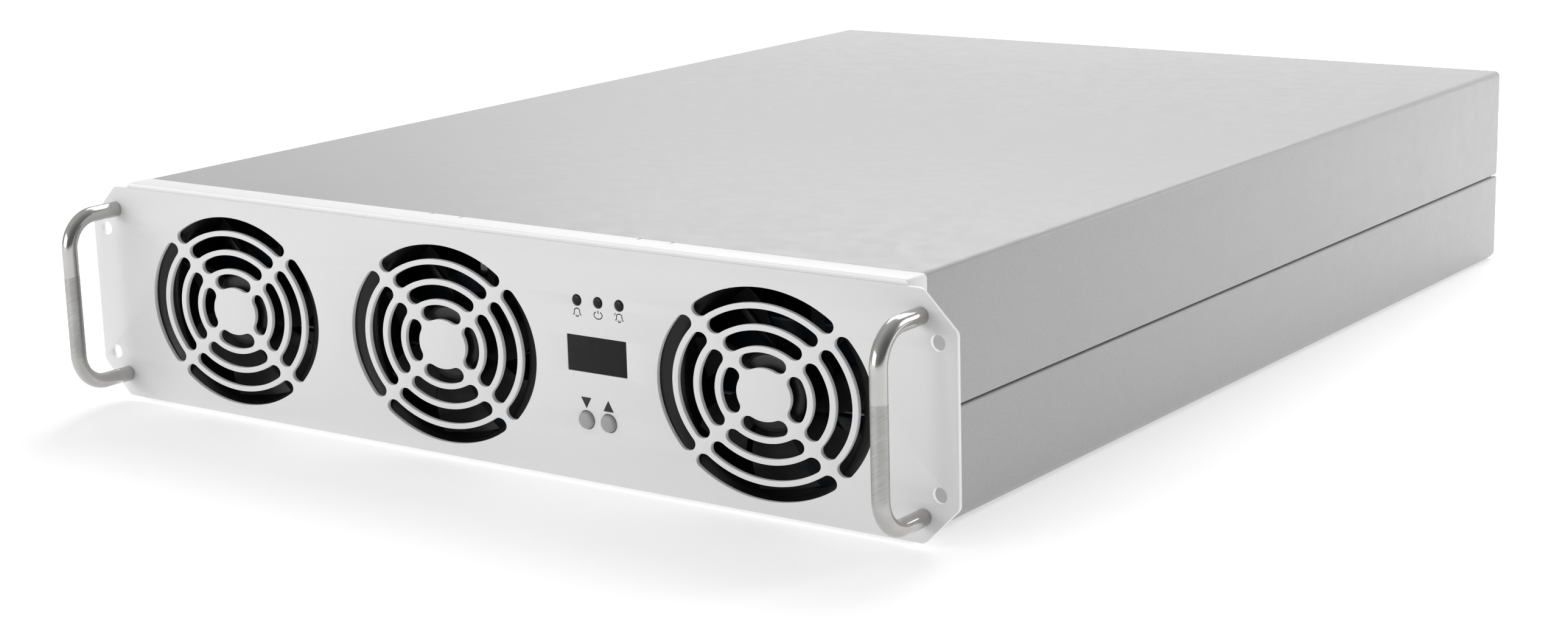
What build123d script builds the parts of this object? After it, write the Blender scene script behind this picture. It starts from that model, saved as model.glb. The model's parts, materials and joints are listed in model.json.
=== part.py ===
from build123d import *
import math
import os

# Rack-mount battery module: a folded sheet-metal case behind a 19-inch face plate with two bow
# handles, three fans, a small screen with indicators and buttons, and sixteen prismatic cells.
#
# Millimetres. +X is right as seen from the front, +Y goes back into the rack, +Z is up.
# The origin is the middle of the bounding box's bottom. Inside this file every y is measured from
# the front surface of the face plate; save() moves each finished piece into the final frame.

# ---- driving dimensions: face plate and case ----
PLATE_WIDTH = 482.6
PLATE_HEIGHT = 101.6
PLATE_THICKNESS = 2.0
PLATE_BOTTOM = 1.9
PLATE_CHAMFER = 16.0
PLATE_CORNER_ROUND = 4.0
RACK_HOLE_PITCH_X = 465.1
RACK_HOLE_PITCH_Z = 60.325
RACK_HOLE_RADIUS = 3.3

CASE_HEIGHT = 105.6
CASE_HALF_WIDTH = 218.0
CASE_DEPTH = 605.0
SHEET = 1.2
TOP_BEND = 3.0
BOTTOM_BEND = 4.5
SEAM_HEIGHT = 47.4
SEAM_GAP = 1.0
HEM_THICKNESS = 2.4

BEZEL_HALF_WIDTH = 218.6
BEZEL_DEPTH = 15.0
BEZEL_SHEET = 1.5
BEZEL_FLANGE = 5.2
BEZEL_CORNER = 2.0
TAB_WIDTH = 17.0
TAB_CENTRES = (-27.3, 87.7)
TAB_SLIT = 0.9
TAB_SLIT_LENGTH = 3.0
TONGUE_HALF_WIDTH = 190.0
TONGUE_OVERLAP = 14.0
COVER_FLANGE_DROP = 12.0
HEM_FOLD = 9.0
FIT_GAP = 0.4

# ---- driving dimensions: handles ----
HANDLE_X = 225.0
HANDLE_HALF_SPAN = 40.0
HANDLE_ROD_RADIUS = 3.6
HANDLE_REACH = 29.5
HANDLE_BEND = 15.0
HANDLE_SCREW_RADIUS = 2.45
HANDLE_SCREW_HEAD = (4.6, 3.2)
HANDLE_SCREW_LENGTH = 12.0
HANDLE_TAPPED_DEPTH = 11.0

# ---- driving dimensions: fans and grilles ----
FAN_CENTRES = {"left": -149.5, "middle": -21.5, "right": 150.0}
FAN_DROP = 1.2
FAN_SIZE = 92.0
FAN_THICKNESS = 25.4
FAN_HOLE_PITCH = 82.5
FAN_OPENING_RADIUS = 44.25
BLADE_TIP_RADIUS = 42.8
BLADE_COUNT = 7
BLADE_PITCH = 38.0
HUB_RADIUS = 17.0
SHAFT_RADIUS = 1.5
SHAFT_CLEARANCE = 0.04
FAN_BOSS_RADIUS = 4.5
FAN_STRUT = 3.0
FAN_STUD_RADIUS = 1.95
BLADE_CHORD = 25.0
BLADE_THICKNESS = 1.6
FAN_CORNER = 4.0
COIL_RADIUS = 13.5
HUB_WALL = 1.6
FAN_NUT_ACROSS = 7.0
FAN_NUT_HEIGHT = 3.2
GRILLE_WIDTH = 107.0
GRILLE_HEIGHT = 88.0
INLET_WIDTH = 107.2
INLET_DEPTH = 5.0
INLET_FLANGE = (112.0, 92.0)
RING_INNER_RADII = (11.4, 20.6, 29.8, 38.9)
RING_SLOT_WIDTH = 6.7
SPOKE_WIDTH = 3.0
SPOKE_ANGLES = (45.0, 135.0, 225.0, 315.0)

# ---- driving dimensions: screen, indicators and buttons ----
SCREEN_X = 65.1
SCREEN_RISE = 4.4
SCREEN_WIDTH = 31.6
SCREEN_HEIGHT = 15.6
INDICATOR_X = 66.7
INDICATOR_PITCH = 11.2
INDICATOR_RISE = 27.2
INDICATOR_RADIUS = 2.5
BUTTON_X = {"down": 58.4, "up": 70.2}
BUTTON_DROP = 24.0
BUTTON_RADIUS = 3.8
BUTTON_PROJECTION = 2.0
BUTTON_GAP = 0.3
BOARD_FRONT = 9.5
BOARD_THICKNESS = 1.6
BOARD_WIDTH = 58.0
BOARD_HEIGHT = 76.0
SPACER_ACROSS = 25.0
SPACER_LEVEL = 34.0
SPACER_RADIUS = 2.75
SPACER_BORE = 1.52
WINDOW_RIM = 2.5
LIGHT_PIPE_RADIUS = 1.5
BUTTON_STEM_RADIUS = 1.75
SMALL_SCREW_RADIUS = 1.5
SMALL_SCREW_HEAD = (2.9, 2.0)
SMALL_SCREW_LENGTH = 6.0

# ---- driving dimensions: cells ----
CELL_LENGTH = 200.5
CELL_WIDTH = 130.3
CELL_THICKNESS = 36.35
CELL_GAP = 1.0
SHEET_SLACK = 0.1
CELL_FRONT = 33.0
CELLS_PER_ROW = 4
AISLE_HALF_WIDTH = 12.0
POLE_OFFSET = 46.0
POLE_RADIUS = 7.0
POLE_HEIGHT = 3.0
LINK_THICKNESS = 2.0
LINK_WIDTH = 16.0
CLAMP_HALF_WIDTH = 32.0
CLAMP_SHEET = 2.0
CLAMP_RIB_HEIGHT = 10.0
CLAMP_BOLT_RADIUS = 2.5
CLAMP_BOLT_HEAD = 5.0

# ---- driving dimensions: back of the case ----
REAR_PANEL_BACK = 604.0
REAR_PANEL_THICKNESS = 2.0
REAR_LIP = 9.5
TERMINAL_X = {"minus": 128.0, "plus": 182.0}
TERMINAL_RADIUS = 8.0
TERMINAL_BACK = 622.0
TERMINAL_THREAD_RADIUS = 3.4
TERMINAL_THREAD_DEPTH = 16.0
BREAKER_X = 80.0
TOGGLE_PIVOT_Y = 598.0
TOGGLE_TILT = 20.0
JACK_CENTRES = (14.0, 34.0)
JACK_Z = 70.0
EARTH_X = -12.0
EARTH_Z = 26.0
EARTH_SHOULDER_RADIUS = 3.4
EARTH_SHOULDER = 5.5
EARTH_FREE_RADIUS = 2.9
EARTH_FREE_LENGTH = 8.5
VENT_COLUMNS = 24
VENT_PITCH = 7.0
VENT_FIRST_X = -203.0
VENT_WIDTH = 3.4
VENT_HEIGHT = 34.0
VENT_ROW_GAP = 6.0
INSULATOR_BUSH_RADIUS = 12.0
INSULATOR_FLANGE = 34.0
INSULATOR_FLANGE_THICKNESS = 8.0
BREAKER_NECK = (20.0, 44.0)
BREAKER_DEEP_HEIGHT = 60.0
BREAKER_COLLAR = (28.0, 52.0)
BREAKER_POCKET = (9.2, 24.0)
BREAKER_FRONT = 570.0
BREAKER_STUD_ZS = (30.0, 74.0)
BREAKER_STUD_RADIUS = 3.0
JACK_BODY = (15.8, 13.8)
JACK_SOCKET = (11.8, 8.4)
JACK_LATCH_WIDTH = 6.4
JACK_FRONT = 586.0
JACK_SOCKET_FRONT = 592.0
PANEL_SCREW_FIRST_X = -195.0
PANEL_SCREW_PITCH = 97.5
PANEL_SCREWS_PER_LIP = 5
PANEL_SCREW_INSET = 4.0
PANEL_SCREW_HOLE = 1.8
TOGGLE_HUB = (5.0, 8.4)
TOGGLE_LEVER = (7.0, 20.0, 4.6)
EARTH_FLANGE_RADIUS = 6.0
EARTH_NUT_ACROSS = 10.0
EARTH_NUT_HEIGHT = 5.0
LIP_HOLE = 1.6
PILLAR_HOLE = 1.7

# ---- driving dimensions: power path and management board ----
BAR_Y = (562.0, 564.0)
BAR_HEIGHT = 16.0
BAR_STUD_HOLE = 3.1
FUSE_X = (32.0, 58.0)
FUSE_Y = (564.0, 578.0)
FUSE_Z = (20.0, 40.0)
MINUS_BAR_Y = (568.0, 570.0)
MINUS_BAR_Z = (84.0, 92.0)
MINUS_FEED_Y = (558.4, 560.0)
MINUS_FEED_END_X = -60.0
MINUS_FEED_PIN_X = -52.0
MINUS_BAR_END_X = -48.0
MINUS_BAR_PIN_X = -42.0
MAIN_BOARD_X = (-198.0, -32.0)
MAIN_BOARD_Y = (562.0, 563.6)
MAIN_BOARD_Z = (12.0, 93.0)
PILLAR_PLACES = ((-192.0, 18.0), (-192.0, 87.0), (-38.0, 18.0), (-60.0, 87.0))
PILLAR_RADIUS = 3.2
PILLAR_BORE = 1.52
HEAT_SINK_X = (-180.0, -62.0)
HEAT_SINK_Z = (26.0, 80.0)
HEAT_SINK_BASE = 4.0
HEAT_SINK_BACK = 585.0
HEAT_SINK_FINS = 14
HEAT_SINK_FIN = 1.8

# ---- worked out from the above ----
PLATE_MIDDLE = PLATE_BOTTOM + PLATE_HEIGHT / 2
PLATE_BACK = PLATE_THICKNESS
FAN_Z = PLATE_MIDDLE - FAN_DROP
FAN_BACK = PLATE_BACK + FAN_THICKNESS
HANDLE_PROJECTION = HANDLE_REACH + HANDLE_ROD_RADIUS
OVERALL_LENGTH = HANDLE_PROJECTION + TERMINAL_BACK
FACE_Y = HANDLE_PROJECTION - OVERALL_LENGTH / 2
BUTTON_Z = PLATE_MIDDLE - BUTTON_DROP
INDICATOR_Z = PLATE_MIDDLE + INDICATOR_RISE
SCREEN_Z = PLATE_MIDDLE + SCREEN_RISE
INDICATOR_CENTRES = tuple(INDICATOR_X + step * INDICATOR_PITCH for step in (-1, 0, 1))
REAR_PANEL_FRONT = REAR_PANEL_BACK - REAR_PANEL_THICKNESS
INNER_HALF_WIDTH = CASE_HALF_WIDTH - SHEET
LOWER_CELL_Z = SHEET + CELL_GAP
UPPER_CELL_Z = LOWER_CELL_Z + CELL_THICKNESS + CELL_GAP
CELL_STACK_TOP = UPPER_CELL_Z + CELL_THICKNESS
CELL_PITCH = CELL_WIDTH + CELL_GAP
CELL_BACK = CELL_FRONT + CELLS_PER_ROW * CELL_PITCH - CELL_GAP
LINK_OUTER_X = AISLE_HALF_WIDTH - POLE_HEIGHT
LINK_INNER_X = LINK_OUTER_X - LINK_THICKNESS
PACK_POLE_Y = CELL_FRONT + (CELLS_PER_ROW - 1) * CELL_PITCH + CELL_WIDTH / 2 + POLE_OFFSET
PACK_POLE_Z = LOWER_CELL_Z + CELL_THICKNESS / 2

PIECES = {}


# ---- helpers ----
def block(x, y, z):
    """Box between the (low, high) pairs x, y and z."""
    size = Box(x[1] - x[0], y[1] - y[0], z[1] - z[0])
    return Pos((x[0] + x[1]) / 2, (y[0] + y[1]) / 2, (z[0] + z[1]) / 2) * size


def rod_y(x, z, radius, y):
    """Cylinder along Y between the (low, high) pair y."""
    return Pos(x, (y[0] + y[1]) / 2, z) * Rot(90, 0, 0) * Cylinder(radius, y[1] - y[0])


def rod_x(y, z, radius, x):
    """Cylinder along X between the (low, high) pair x."""
    return Pos((x[0] + x[1]) / 2, y, z) * Rot(0, 90, 0) * Cylinder(radius, x[1] - x[0])


def rod_z(x, y, radius, z):
    """Cylinder along Z between the (low, high) pair z."""
    return Pos(x, y, (z[0] + z[1]) / 2) * Cylinder(radius, z[1] - z[0])


def slab_xz(sketch, y):
    """Extrude a sketch drawn in (x, z) over the (low, high) pair y."""
    plane = Plane(origin=(0, y[0], 0), x_dir=(1, 0, 0), z_dir=(0, -1, 0))
    return extrude(plane * sketch, amount=-(y[1] - y[0]))


def around(x, half):
    """The (low, high) pair of half on each side of x."""
    return (x - half, x + half)


def keep(name, shape):
    """Record one sub-part under its node name."""
    PIECES[name] = shape


def pan_screw(x, z, shank, head, head_height, y_seat, shank_length):
    """Pan-head screw along Y: the head stands on y_seat and the shank goes forward from it."""
    screw = rod_y(x, z, head, (y_seat, y_seat + head_height))
    screw += rod_y(x, z, shank, (y_seat - shank_length, y_seat))
    recess_ys = (y_seat + head_height / 2, y_seat + head_height + 1)
    long_half, short_half = head * 0.55, head * 0.13
    cross = block(around(x, long_half), recess_ys, around(z, short_half))
    cross += block(around(x, short_half), recess_ys, around(z, long_half))
    return screw - cross


def small_screw(x, z, y_seat):
    """The small pan-head screw used on the rear panel and the display board, its shank to -Y."""
    return pan_screw(x, z, SMALL_SCREW_RADIUS, *SMALL_SCREW_HEAD, y_seat, SMALL_SCREW_LENGTH)


# ---- face plate ----
def ring_slot(inner_radius, middle_angle):
    """One rounded arc slot of a fan grille, centred on the angle, drawn about the fan's middle."""
    radius = inner_radius + RING_SLOT_WIDTH / 2
    end_room = math.degrees((RING_SLOT_WIDTH / 2 + SPOKE_WIDTH / 2) / radius)
    sweep = 90.0 - 2 * end_room
    arc = CenterArc((0, 0), radius, middle_angle - sweep / 2, sweep)
    return SlotArc(arc, RING_SLOT_WIDTH)


def grille_sketch():
    """All sixteen slots of one grille, on rings drawn out sideways into ovals."""
    slots = Sketch()
    for inner_radius in RING_INNER_RADII:
        for spoke in SPOKE_ANGLES:
            slots += ring_slot(inner_radius, spoke + 45.0)
    round_width = 2 * (RING_INNER_RADII[-1] + RING_SLOT_WIDTH)
    return scale(slots, by=(GRILLE_WIDTH / round_width, GRILLE_HEIGHT / round_width, 1.0))


def ear_plate():
    outline = Rectangle(PLATE_WIDTH, PLATE_HEIGHT)
    outline = chamfer(outline.vertices(), PLATE_CHAMFER)
    outline = fillet(outline.vertices(), PLATE_CORNER_ROUND)
    outline = Pos(0, PLATE_MIDDLE) * outline
    for x in FAN_CENTRES.values():
        outline -= Pos(x, FAN_Z) * grille_sketch()
    for side in (-1, 1):
        for level in (-1, 1):
            hole_z = PLATE_MIDDLE + level * RACK_HOLE_PITCH_Z / 2
            outline -= Pos(side * RACK_HOLE_PITCH_X / 2, hole_z) * Circle(RACK_HOLE_RADIUS)
            screw_z = PLATE_MIDDLE + level * HANDLE_HALF_SPAN
            outline -= Pos(side * HANDLE_X, screw_z) * Circle(HANDLE_SCREW_RADIUS + 0.3)
    outline -= Pos(SCREEN_X, SCREEN_Z) * Rectangle(SCREEN_WIDTH, SCREEN_HEIGHT)
    for x in INDICATOR_CENTRES:
        outline -= Pos(x, INDICATOR_Z) * Circle(INDICATOR_RADIUS)
    for x in BUTTON_X.values():
        outline -= Pos(x, BUTTON_Z) * Circle(BUTTON_RADIUS + BUTTON_GAP)
    return slab_xz(outline, (0, PLATE_BACK))


def bezel_outline(inset, corner):
    """Rounded rectangle of the bezel, drawn in by the inset."""
    sheet = RectangleRounded(2 * (BEZEL_HALF_WIDTH - inset), CASE_HEIGHT - 2 * inset, corner)
    return Pos(0, CASE_HEIGHT / 2) * sheet


def bezel_frame():
    """Folded frame behind the face plate, with a front flange and two tongues under the covers."""
    shell = bezel_outline(0, BEZEL_CORNER) - bezel_outline(BEZEL_SHEET, BEZEL_CORNER - BEZEL_SHEET)
    frame = slab_xz(shell, (PLATE_BACK, BEZEL_DEPTH))
    flange = bezel_outline(BEZEL_SHEET / 2, 1.0) - bezel_outline(BEZEL_FLANGE, 1.0)
    frame += slab_xz(flange, (PLATE_BACK, PLATE_BACK + BEZEL_SHEET))
    tongue_top = CASE_HEIGHT - BEZEL_SHEET
    tongue_x = around(0, TONGUE_HALF_WIDTH)
    tongue_y = (BEZEL_DEPTH - 5.0, BEZEL_DEPTH + TONGUE_OVERLAP)
    frame += block(tongue_x, tongue_y, (tongue_top - BEZEL_SHEET, tongue_top))
    frame += block(tongue_x, tongue_y, (BEZEL_SHEET, 2 * BEZEL_SHEET))
    for centre in TAB_CENTRES:
        for side in (-1, 1):
            slit_x = around(centre + side * TAB_WIDTH / 2, TAB_SLIT / 2)
            slit_y = (BEZEL_DEPTH - TAB_SLIT_LENGTH, BEZEL_DEPTH + 1)
            frame -= block(slit_x, slit_y, (tongue_top, CASE_HEIGHT + 1))
    return frame


# ---- case ----
def rounded_half(corner_bend, inset, z):
    """Case cross-section drawn in by the inset, cut to the (low, high) pair z."""
    full = RectangleRounded(2 * (CASE_HALF_WIDTH - inset), CASE_HEIGHT - 2 * inset, corner_bend - inset)
    window = Pos(0, (z[0] + z[1]) / 2) * Rectangle(3 * CASE_HALF_WIDTH, z[1] - z[0])
    return (Pos(0, CASE_HEIGHT / 2) * full) & window


def top_cover():
    """Top and upper sides, with an inward joggle at the seam and a lip for the rear panel."""
    low = SEAM_HEIGHT + SEAM_GAP / 2
    z = (low, CASE_HEIGHT)
    shell = rounded_half(TOP_BEND, 0, z) - rounded_half(TOP_BEND, SHEET, z)
    cover = slab_xz(shell, (BEZEL_DEPTH, CASE_DEPTH))
    ledge_inner = CASE_HALF_WIDTH - HEM_THICKNESS - FIT_GAP - SHEET
    for side in (-1, 1):
        ledge_x = sorted((side * ledge_inner, side * CASE_HALF_WIDTH))
        flange_x = sorted((side * ledge_inner, side * (ledge_inner + SHEET)))
        cover += block(ledge_x, (BEZEL_DEPTH, CASE_DEPTH), (low, low + SHEET))
        cover += block(flange_x, (BEZEL_DEPTH, CASE_DEPTH), (low - COVER_FLANGE_DROP, low + SHEET))
    lip_z = (CASE_HEIGHT - SHEET - REAR_LIP, CASE_HEIGHT - SHEET / 2)
    lip_y = (REAR_PANEL_FRONT - SHEET, REAR_PANEL_FRONT)
    cover += block(around(0, INNER_HALF_WIDTH - 8), lip_y, lip_z)
    for x in rear_screw_xs():
        cover -= rod_y(x, rear_screw_zs()[1], LIP_HOLE, (lip_y[0] - 1, lip_y[1] + 1))
    return cover


def lower_tray():
    """Floor and lower sides; the upper edges are folded inwards into a closed hem."""
    high = SEAM_HEIGHT - SEAM_GAP / 2
    z = (0, high - HEM_THICKNESS / 2)
    shell = rounded_half(BOTTOM_BEND, 0, z) - rounded_half(BOTTOM_BEND, SHEET, z)
    tray = slab_xz(shell, (BEZEL_DEPTH, CASE_DEPTH))
    hem_middle = CASE_HALF_WIDTH - HEM_THICKNESS / 2
    for side in (-1, 1):
        hem_x = around(side * hem_middle, HEM_THICKNESS / 2)
        tray += block(hem_x, (BEZEL_DEPTH, CASE_DEPTH), (z[1] - HEM_FOLD, z[1]))
        tray += rod_y(side * hem_middle, z[1], HEM_THICKNESS / 2, (BEZEL_DEPTH, CASE_DEPTH))
    lip_y = (REAR_PANEL_FRONT - SHEET, REAR_PANEL_FRONT)
    tray += block(around(0, INNER_HALF_WIDTH - 8), lip_y, (SHEET / 2, SHEET + REAR_LIP))
    for x in rear_screw_xs():
        tray -= rod_y(x, rear_screw_zs()[0], LIP_HOLE, (lip_y[0] - 1, lip_y[1] + 1))
    return tray


def rear_screw_xs():
    return [PANEL_SCREW_FIRST_X + step * PANEL_SCREW_PITCH for step in range(PANEL_SCREWS_PER_LIP)]


def rear_screw_zs():
    low = SHEET + REAR_LIP - PANEL_SCREW_INSET
    return (low, CASE_HEIGHT - low)


def vent_places():
    """Centres of the exhaust slots in (x, z)."""
    places = []
    for column in range(VENT_COLUMNS):
        for level in (-1, 1):
            z = CASE_HEIGHT / 2 + level * (VENT_HEIGHT + VENT_ROW_GAP) / 2
            places.append((VENT_FIRST_X + column * VENT_PITCH, z))
    return places


def rear_panel():
    """Flat panel set just inside the end of the case."""
    gap = 0.3
    width = 2 * (INNER_HALF_WIDTH - HEM_THICKNESS + SHEET - gap)
    width -= 2 * (SHEET + FIT_GAP)
    height = CASE_HEIGHT - 2 * (SHEET + gap)
    outline = Pos(0, CASE_HEIGHT / 2) * RectangleRounded(width, height, 3.0)
    for x, z in vent_places():
        outline -= Pos(x, z) * Rot(0, 0, 90) * SlotOverall(VENT_HEIGHT, VENT_WIDTH)
    for x in TERMINAL_X.values():
        outline -= Pos(x, PLATE_MIDDLE) * Circle(INSULATOR_BUSH_RADIUS + 0.2)
    neck_gap = 0.6
    neck_hole = Rectangle(BREAKER_NECK[0] + neck_gap, BREAKER_NECK[1] + neck_gap)
    outline -= Pos(BREAKER_X, PLATE_MIDDLE) * neck_hole
    jack_gap = 0.2
    for x in JACK_CENTRES:
        outline -= Pos(x, JACK_Z) * Rectangle(JACK_BODY[0] + jack_gap, JACK_BODY[1] + jack_gap)
    outline -= Pos(EARTH_X, EARTH_Z) * Circle(EARTH_SHOULDER_RADIUS + 0.2)
    for x, z in PILLAR_PLACES:
        outline -= Pos(x, z) * Circle(PILLAR_HOLE)
    for x in rear_screw_xs():
        for z in rear_screw_zs():
            outline -= Pos(x, z) * Circle(PANEL_SCREW_HOLE)
    return slab_xz(outline, (REAR_PANEL_FRONT, REAR_PANEL_BACK))


def rear_screws():
    """Screws through the panel into the two lips and the board pillars."""
    places = [(x, z) for x in rear_screw_xs() for z in rear_screw_zs()]
    places += PILLAR_PLACES
    return Compound(children=[small_screw(x, z, REAR_PANEL_BACK) for x, z in places])


# ---- handles ----
def handle(side):
    """Bow handle: two legs, two bends and an upright grip, with a tapped hole in each leg."""
    x = side * HANDLE_X
    low = PLATE_MIDDLE - HANDLE_HALF_SPAN
    high = PLATE_MIDDLE + HANDLE_HALF_SPAN
    corners = [(x, 0, low), (x, -HANDLE_REACH, low), (x, -HANDLE_REACH, high), (x, 0, high)]
    path = FilletPolyline(*corners, radius=HANDLE_BEND)
    section = Plane(origin=(x, 0, low), z_dir=(0, -1, 0)) * Circle(HANDLE_ROD_RADIUS)
    bar = sweep(section, path)
    for z in (low, high):
        bar -= rod_y(x, z, HANDLE_SCREW_RADIUS + 0.02, (-HANDLE_TAPPED_DEPTH, 1.0))
    return bar


def handle_screws():
    group = []
    for side in (-1, 1):
        for level in (-1, 1):
            place = (side * HANDLE_X, PLATE_MIDDLE + level * HANDLE_HALF_SPAN)
            sizes = (HANDLE_SCREW_RADIUS, *HANDLE_SCREW_HEAD)
            group.append(pan_screw(*place, *sizes, PLATE_BACK, HANDLE_SCREW_LENGTH))
    return Compound(children=group)


# ---- fans ----
def fan_hole_places():
    """Centres of the corner holes of all three fans in (x, z)."""
    half = FAN_HOLE_PITCH / 2
    places = []
    for x in FAN_CENTRES.values():
        for across in (-half, half):
            for level in (-half, half):
                places.append((x + across, FAN_Z + level))
    return places


def fan_inlet(x):
    """Air space of a housing's mouth: as wide as the grille in front, round at the duct."""
    mouth = Plane(origin=(x, PLATE_BACK, FAN_Z), x_dir=(1, 0, 0), z_dir=(0, -1, 0))
    throat = Plane(origin=(x, PLATE_BACK + INLET_DEPTH, FAN_Z), x_dir=(1, 0, 0), z_dir=(0, -1, 0))
    oval = mouth * Ellipse(INLET_WIDTH / 2, FAN_OPENING_RADIUS + 0.6)
    ring = throat * Circle(FAN_OPENING_RADIUS + 0.1)
    return loft([oval, ring])


def fan_frame(x):
    """Housing with an oval mouth in a wide flange, a round duct, four struts and the bearing boss."""
    y = (PLATE_BACK, FAN_BACK)
    strut_y = (FAN_BACK - FAN_STRUT, FAN_BACK)
    frame = slab_xz(Pos(x, FAN_Z) * RectangleRounded(FAN_SIZE, FAN_SIZE, FAN_CORNER), y)
    flange_y = (PLATE_BACK, PLATE_BACK + INLET_DEPTH)
    frame += slab_xz(Pos(x, FAN_Z) * RectangleRounded(*INLET_FLANGE, FAN_CORNER), flange_y)
    frame -= fan_inlet(x)
    frame -= rod_y(x, FAN_Z, FAN_OPENING_RADIUS, (PLATE_BACK - 1, FAN_BACK + 1))
    struts = Sketch()
    for angle in SPOKE_ANGLES:
        strut = Pos(FAN_OPENING_RADIUS / 2 + 4.0, 0) * Rectangle(FAN_OPENING_RADIUS, 4.0)
        struts += Rot(0, 0, angle) * strut
    struts = (struts & Circle(FAN_OPENING_RADIUS + 1.0)) + Circle(HUB_RADIUS + 1.0)
    frame += slab_xz(Pos(x, FAN_Z) * struts, strut_y)
    frame += rod_y(x, FAN_Z, FAN_BOSS_RADIUS, (PLATE_BACK + 7.0, FAN_BACK))
    frame -= rod_y(x, FAN_Z, SHAFT_RADIUS + SHAFT_CLEARANCE, (PLATE_BACK, FAN_BACK - 1.0))
    for hole_x, hole_z in fan_hole_places():
        frame -= rod_y(hole_x, hole_z, FAN_STUD_RADIUS + 0.2, (PLATE_BACK - 1, FAN_BACK + 1))
    return frame


def fan_coil(x):
    """Stator winding pack pressed round the bearing boss."""
    y = (PLATE_BACK + 8.0, FAN_BACK - 5.5)
    return rod_y(x, FAN_Z, COIL_RADIUS, y) - rod_y(x, FAN_Z, FAN_BOSS_RADIUS, (y[0] - 1, y[1] + 1))


def fan_rotor(x):
    """Hub cup with its shaft and pitched blades."""
    front = PLATE_BACK + 2.5
    back = FAN_BACK - 3.8
    middle = (front + back) / 2
    hub = rod_y(x, FAN_Z, HUB_RADIUS, (front, back))
    hub -= rod_y(x, FAN_Z, HUB_RADIUS - HUB_WALL, (front + 1.8, back + 1))
    span = BLADE_TIP_RADIUS - HUB_RADIUS + 3.0
    blades = []
    for step in range(BLADE_COUNT):
        blade = Rot(90 - BLADE_PITCH, 0, 0) * Box(span, BLADE_CHORD, BLADE_THICKNESS)
        blade = Pos(HUB_RADIUS - BLADE_THICKNESS / 2 + span / 2, 0, 0) * blade
        blades.append(Pos(x, middle, FAN_Z) * Rot(0, step * 360.0 / BLADE_COUNT, 0) * blade)
    rotor = hub
    for blade in blades:
        rotor += blade
    rotor &= rod_y(x, FAN_Z, BLADE_TIP_RADIUS, (front, back))
    rotor += rod_y(x, FAN_Z, SHAFT_RADIUS, (front + 1, FAN_BACK - 2.0))
    return rotor


def hex_nut(x, z, across_flats, bore, y):
    """Hexagonal nut along Y."""
    outline = RegularPolygon(across_flats / 2, 6, major_radius=False) - Circle(bore)
    return slab_xz(Pos(x, z) * outline, y)


def fan_fixings():
    """Studs behind the face plate through the fans' corners, each with its nut."""
    group = []
    for x, z in fan_hole_places():
        group.append(rod_y(x, z, FAN_STUD_RADIUS, (PLATE_BACK, FAN_BACK + 4.0)))
        nut_y = (FAN_BACK, FAN_BACK + FAN_NUT_HEIGHT)
        group.append(hex_nut(x, z, FAN_NUT_ACROSS, FAN_STUD_RADIUS + 0.05, nut_y))
    return Compound(children=group)


# ---- screen, indicators and buttons ----
def board_corner_places():
    """Centres of the display board's spacers in (x, z)."""
    places = []
    for across in (-SPACER_ACROSS, SPACER_ACROSS):
        for level in (-SPACER_LEVEL, SPACER_LEVEL):
            places.append((SCREEN_X + across, PLATE_MIDDLE + level))
    return places


def screen_window():
    """Dark window standing almost flush in its cut-out, with a flange behind the plate."""
    gap = 0.15
    x = around(SCREEN_X, SCREEN_WIDTH / 2 - gap)
    z = around(SCREEN_Z, SCREEN_HEIGHT / 2 - gap)
    window = block(x, (0.2, PLATE_BACK), z)
    flange_y = (PLATE_BACK, PLATE_BACK + 1.2)
    flange_x = (x[0] - WINDOW_RIM, x[1] + WINDOW_RIM)
    return window + block(flange_x, flange_y, (z[0] - WINDOW_RIM, z[1] + WINDOW_RIM))


def screen_module():
    """Segment display between the window and the board."""
    x = around(SCREEN_X, SCREEN_WIDTH / 2 + 1.5)
    return block(x, (PLATE_BACK + 1.4, BOARD_FRONT), around(SCREEN_Z, SCREEN_HEIGHT / 2 + 2.0))


def indicator_lenses():
    group = []
    for x in INDICATOR_CENTRES:
        lens = rod_y(x, INDICATOR_Z, INDICATOR_RADIUS - 0.1, (-0.5, PLATE_BACK))
        lens = fillet(lens.edges().group_by(Axis.Y)[0], 0.4)
        lens += rod_y(x, INDICATOR_Z, INDICATOR_RADIUS + 0.9, (PLATE_BACK, PLATE_BACK + 1.0))
        lens += rod_y(x, INDICATOR_Z, LIGHT_PIPE_RADIUS, (PLATE_BACK + 1.0, BOARD_FRONT - 1.5))
        group.append(lens)
    return Compound(children=group)


def indicator_chips():
    """Light sources on the board behind the lenses."""
    y = (BOARD_FRONT - 1.4, BOARD_FRONT)
    return [block(around(x, 1.6), y, around(INDICATOR_Z, 1.4)) for x in INDICATOR_CENTRES]


def button(x):
    """Domed push button with a retaining collar behind the plate and a stem to its switch."""
    cap = rod_y(x, BUTTON_Z, BUTTON_RADIUS, (-BUTTON_PROJECTION, PLATE_BACK + 1.0))
    cap = fillet(cap.edges().group_by(Axis.Y)[0], 0.7)
    cap += rod_y(x, BUTTON_Z, BUTTON_RADIUS + 1.3, (PLATE_BACK + 0.3, PLATE_BACK + 1.3))
    return cap + rod_y(x, BUTTON_Z, BUTTON_STEM_RADIUS, (PLATE_BACK + 1.3, BOARD_FRONT - 3.5))


def tact_switches():
    """Switches on the board behind the buttons."""
    group = []
    for x in BUTTON_X.values():
        switch = block(around(x, 3.0), (BOARD_FRONT - 2.0, BOARD_FRONT), around(BUTTON_Z, 3.0))
        group.append(switch + rod_y(x, BUTTON_Z, 1.7, (BOARD_FRONT - 2.5, BOARD_FRONT - 2.0)))
    return group


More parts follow.
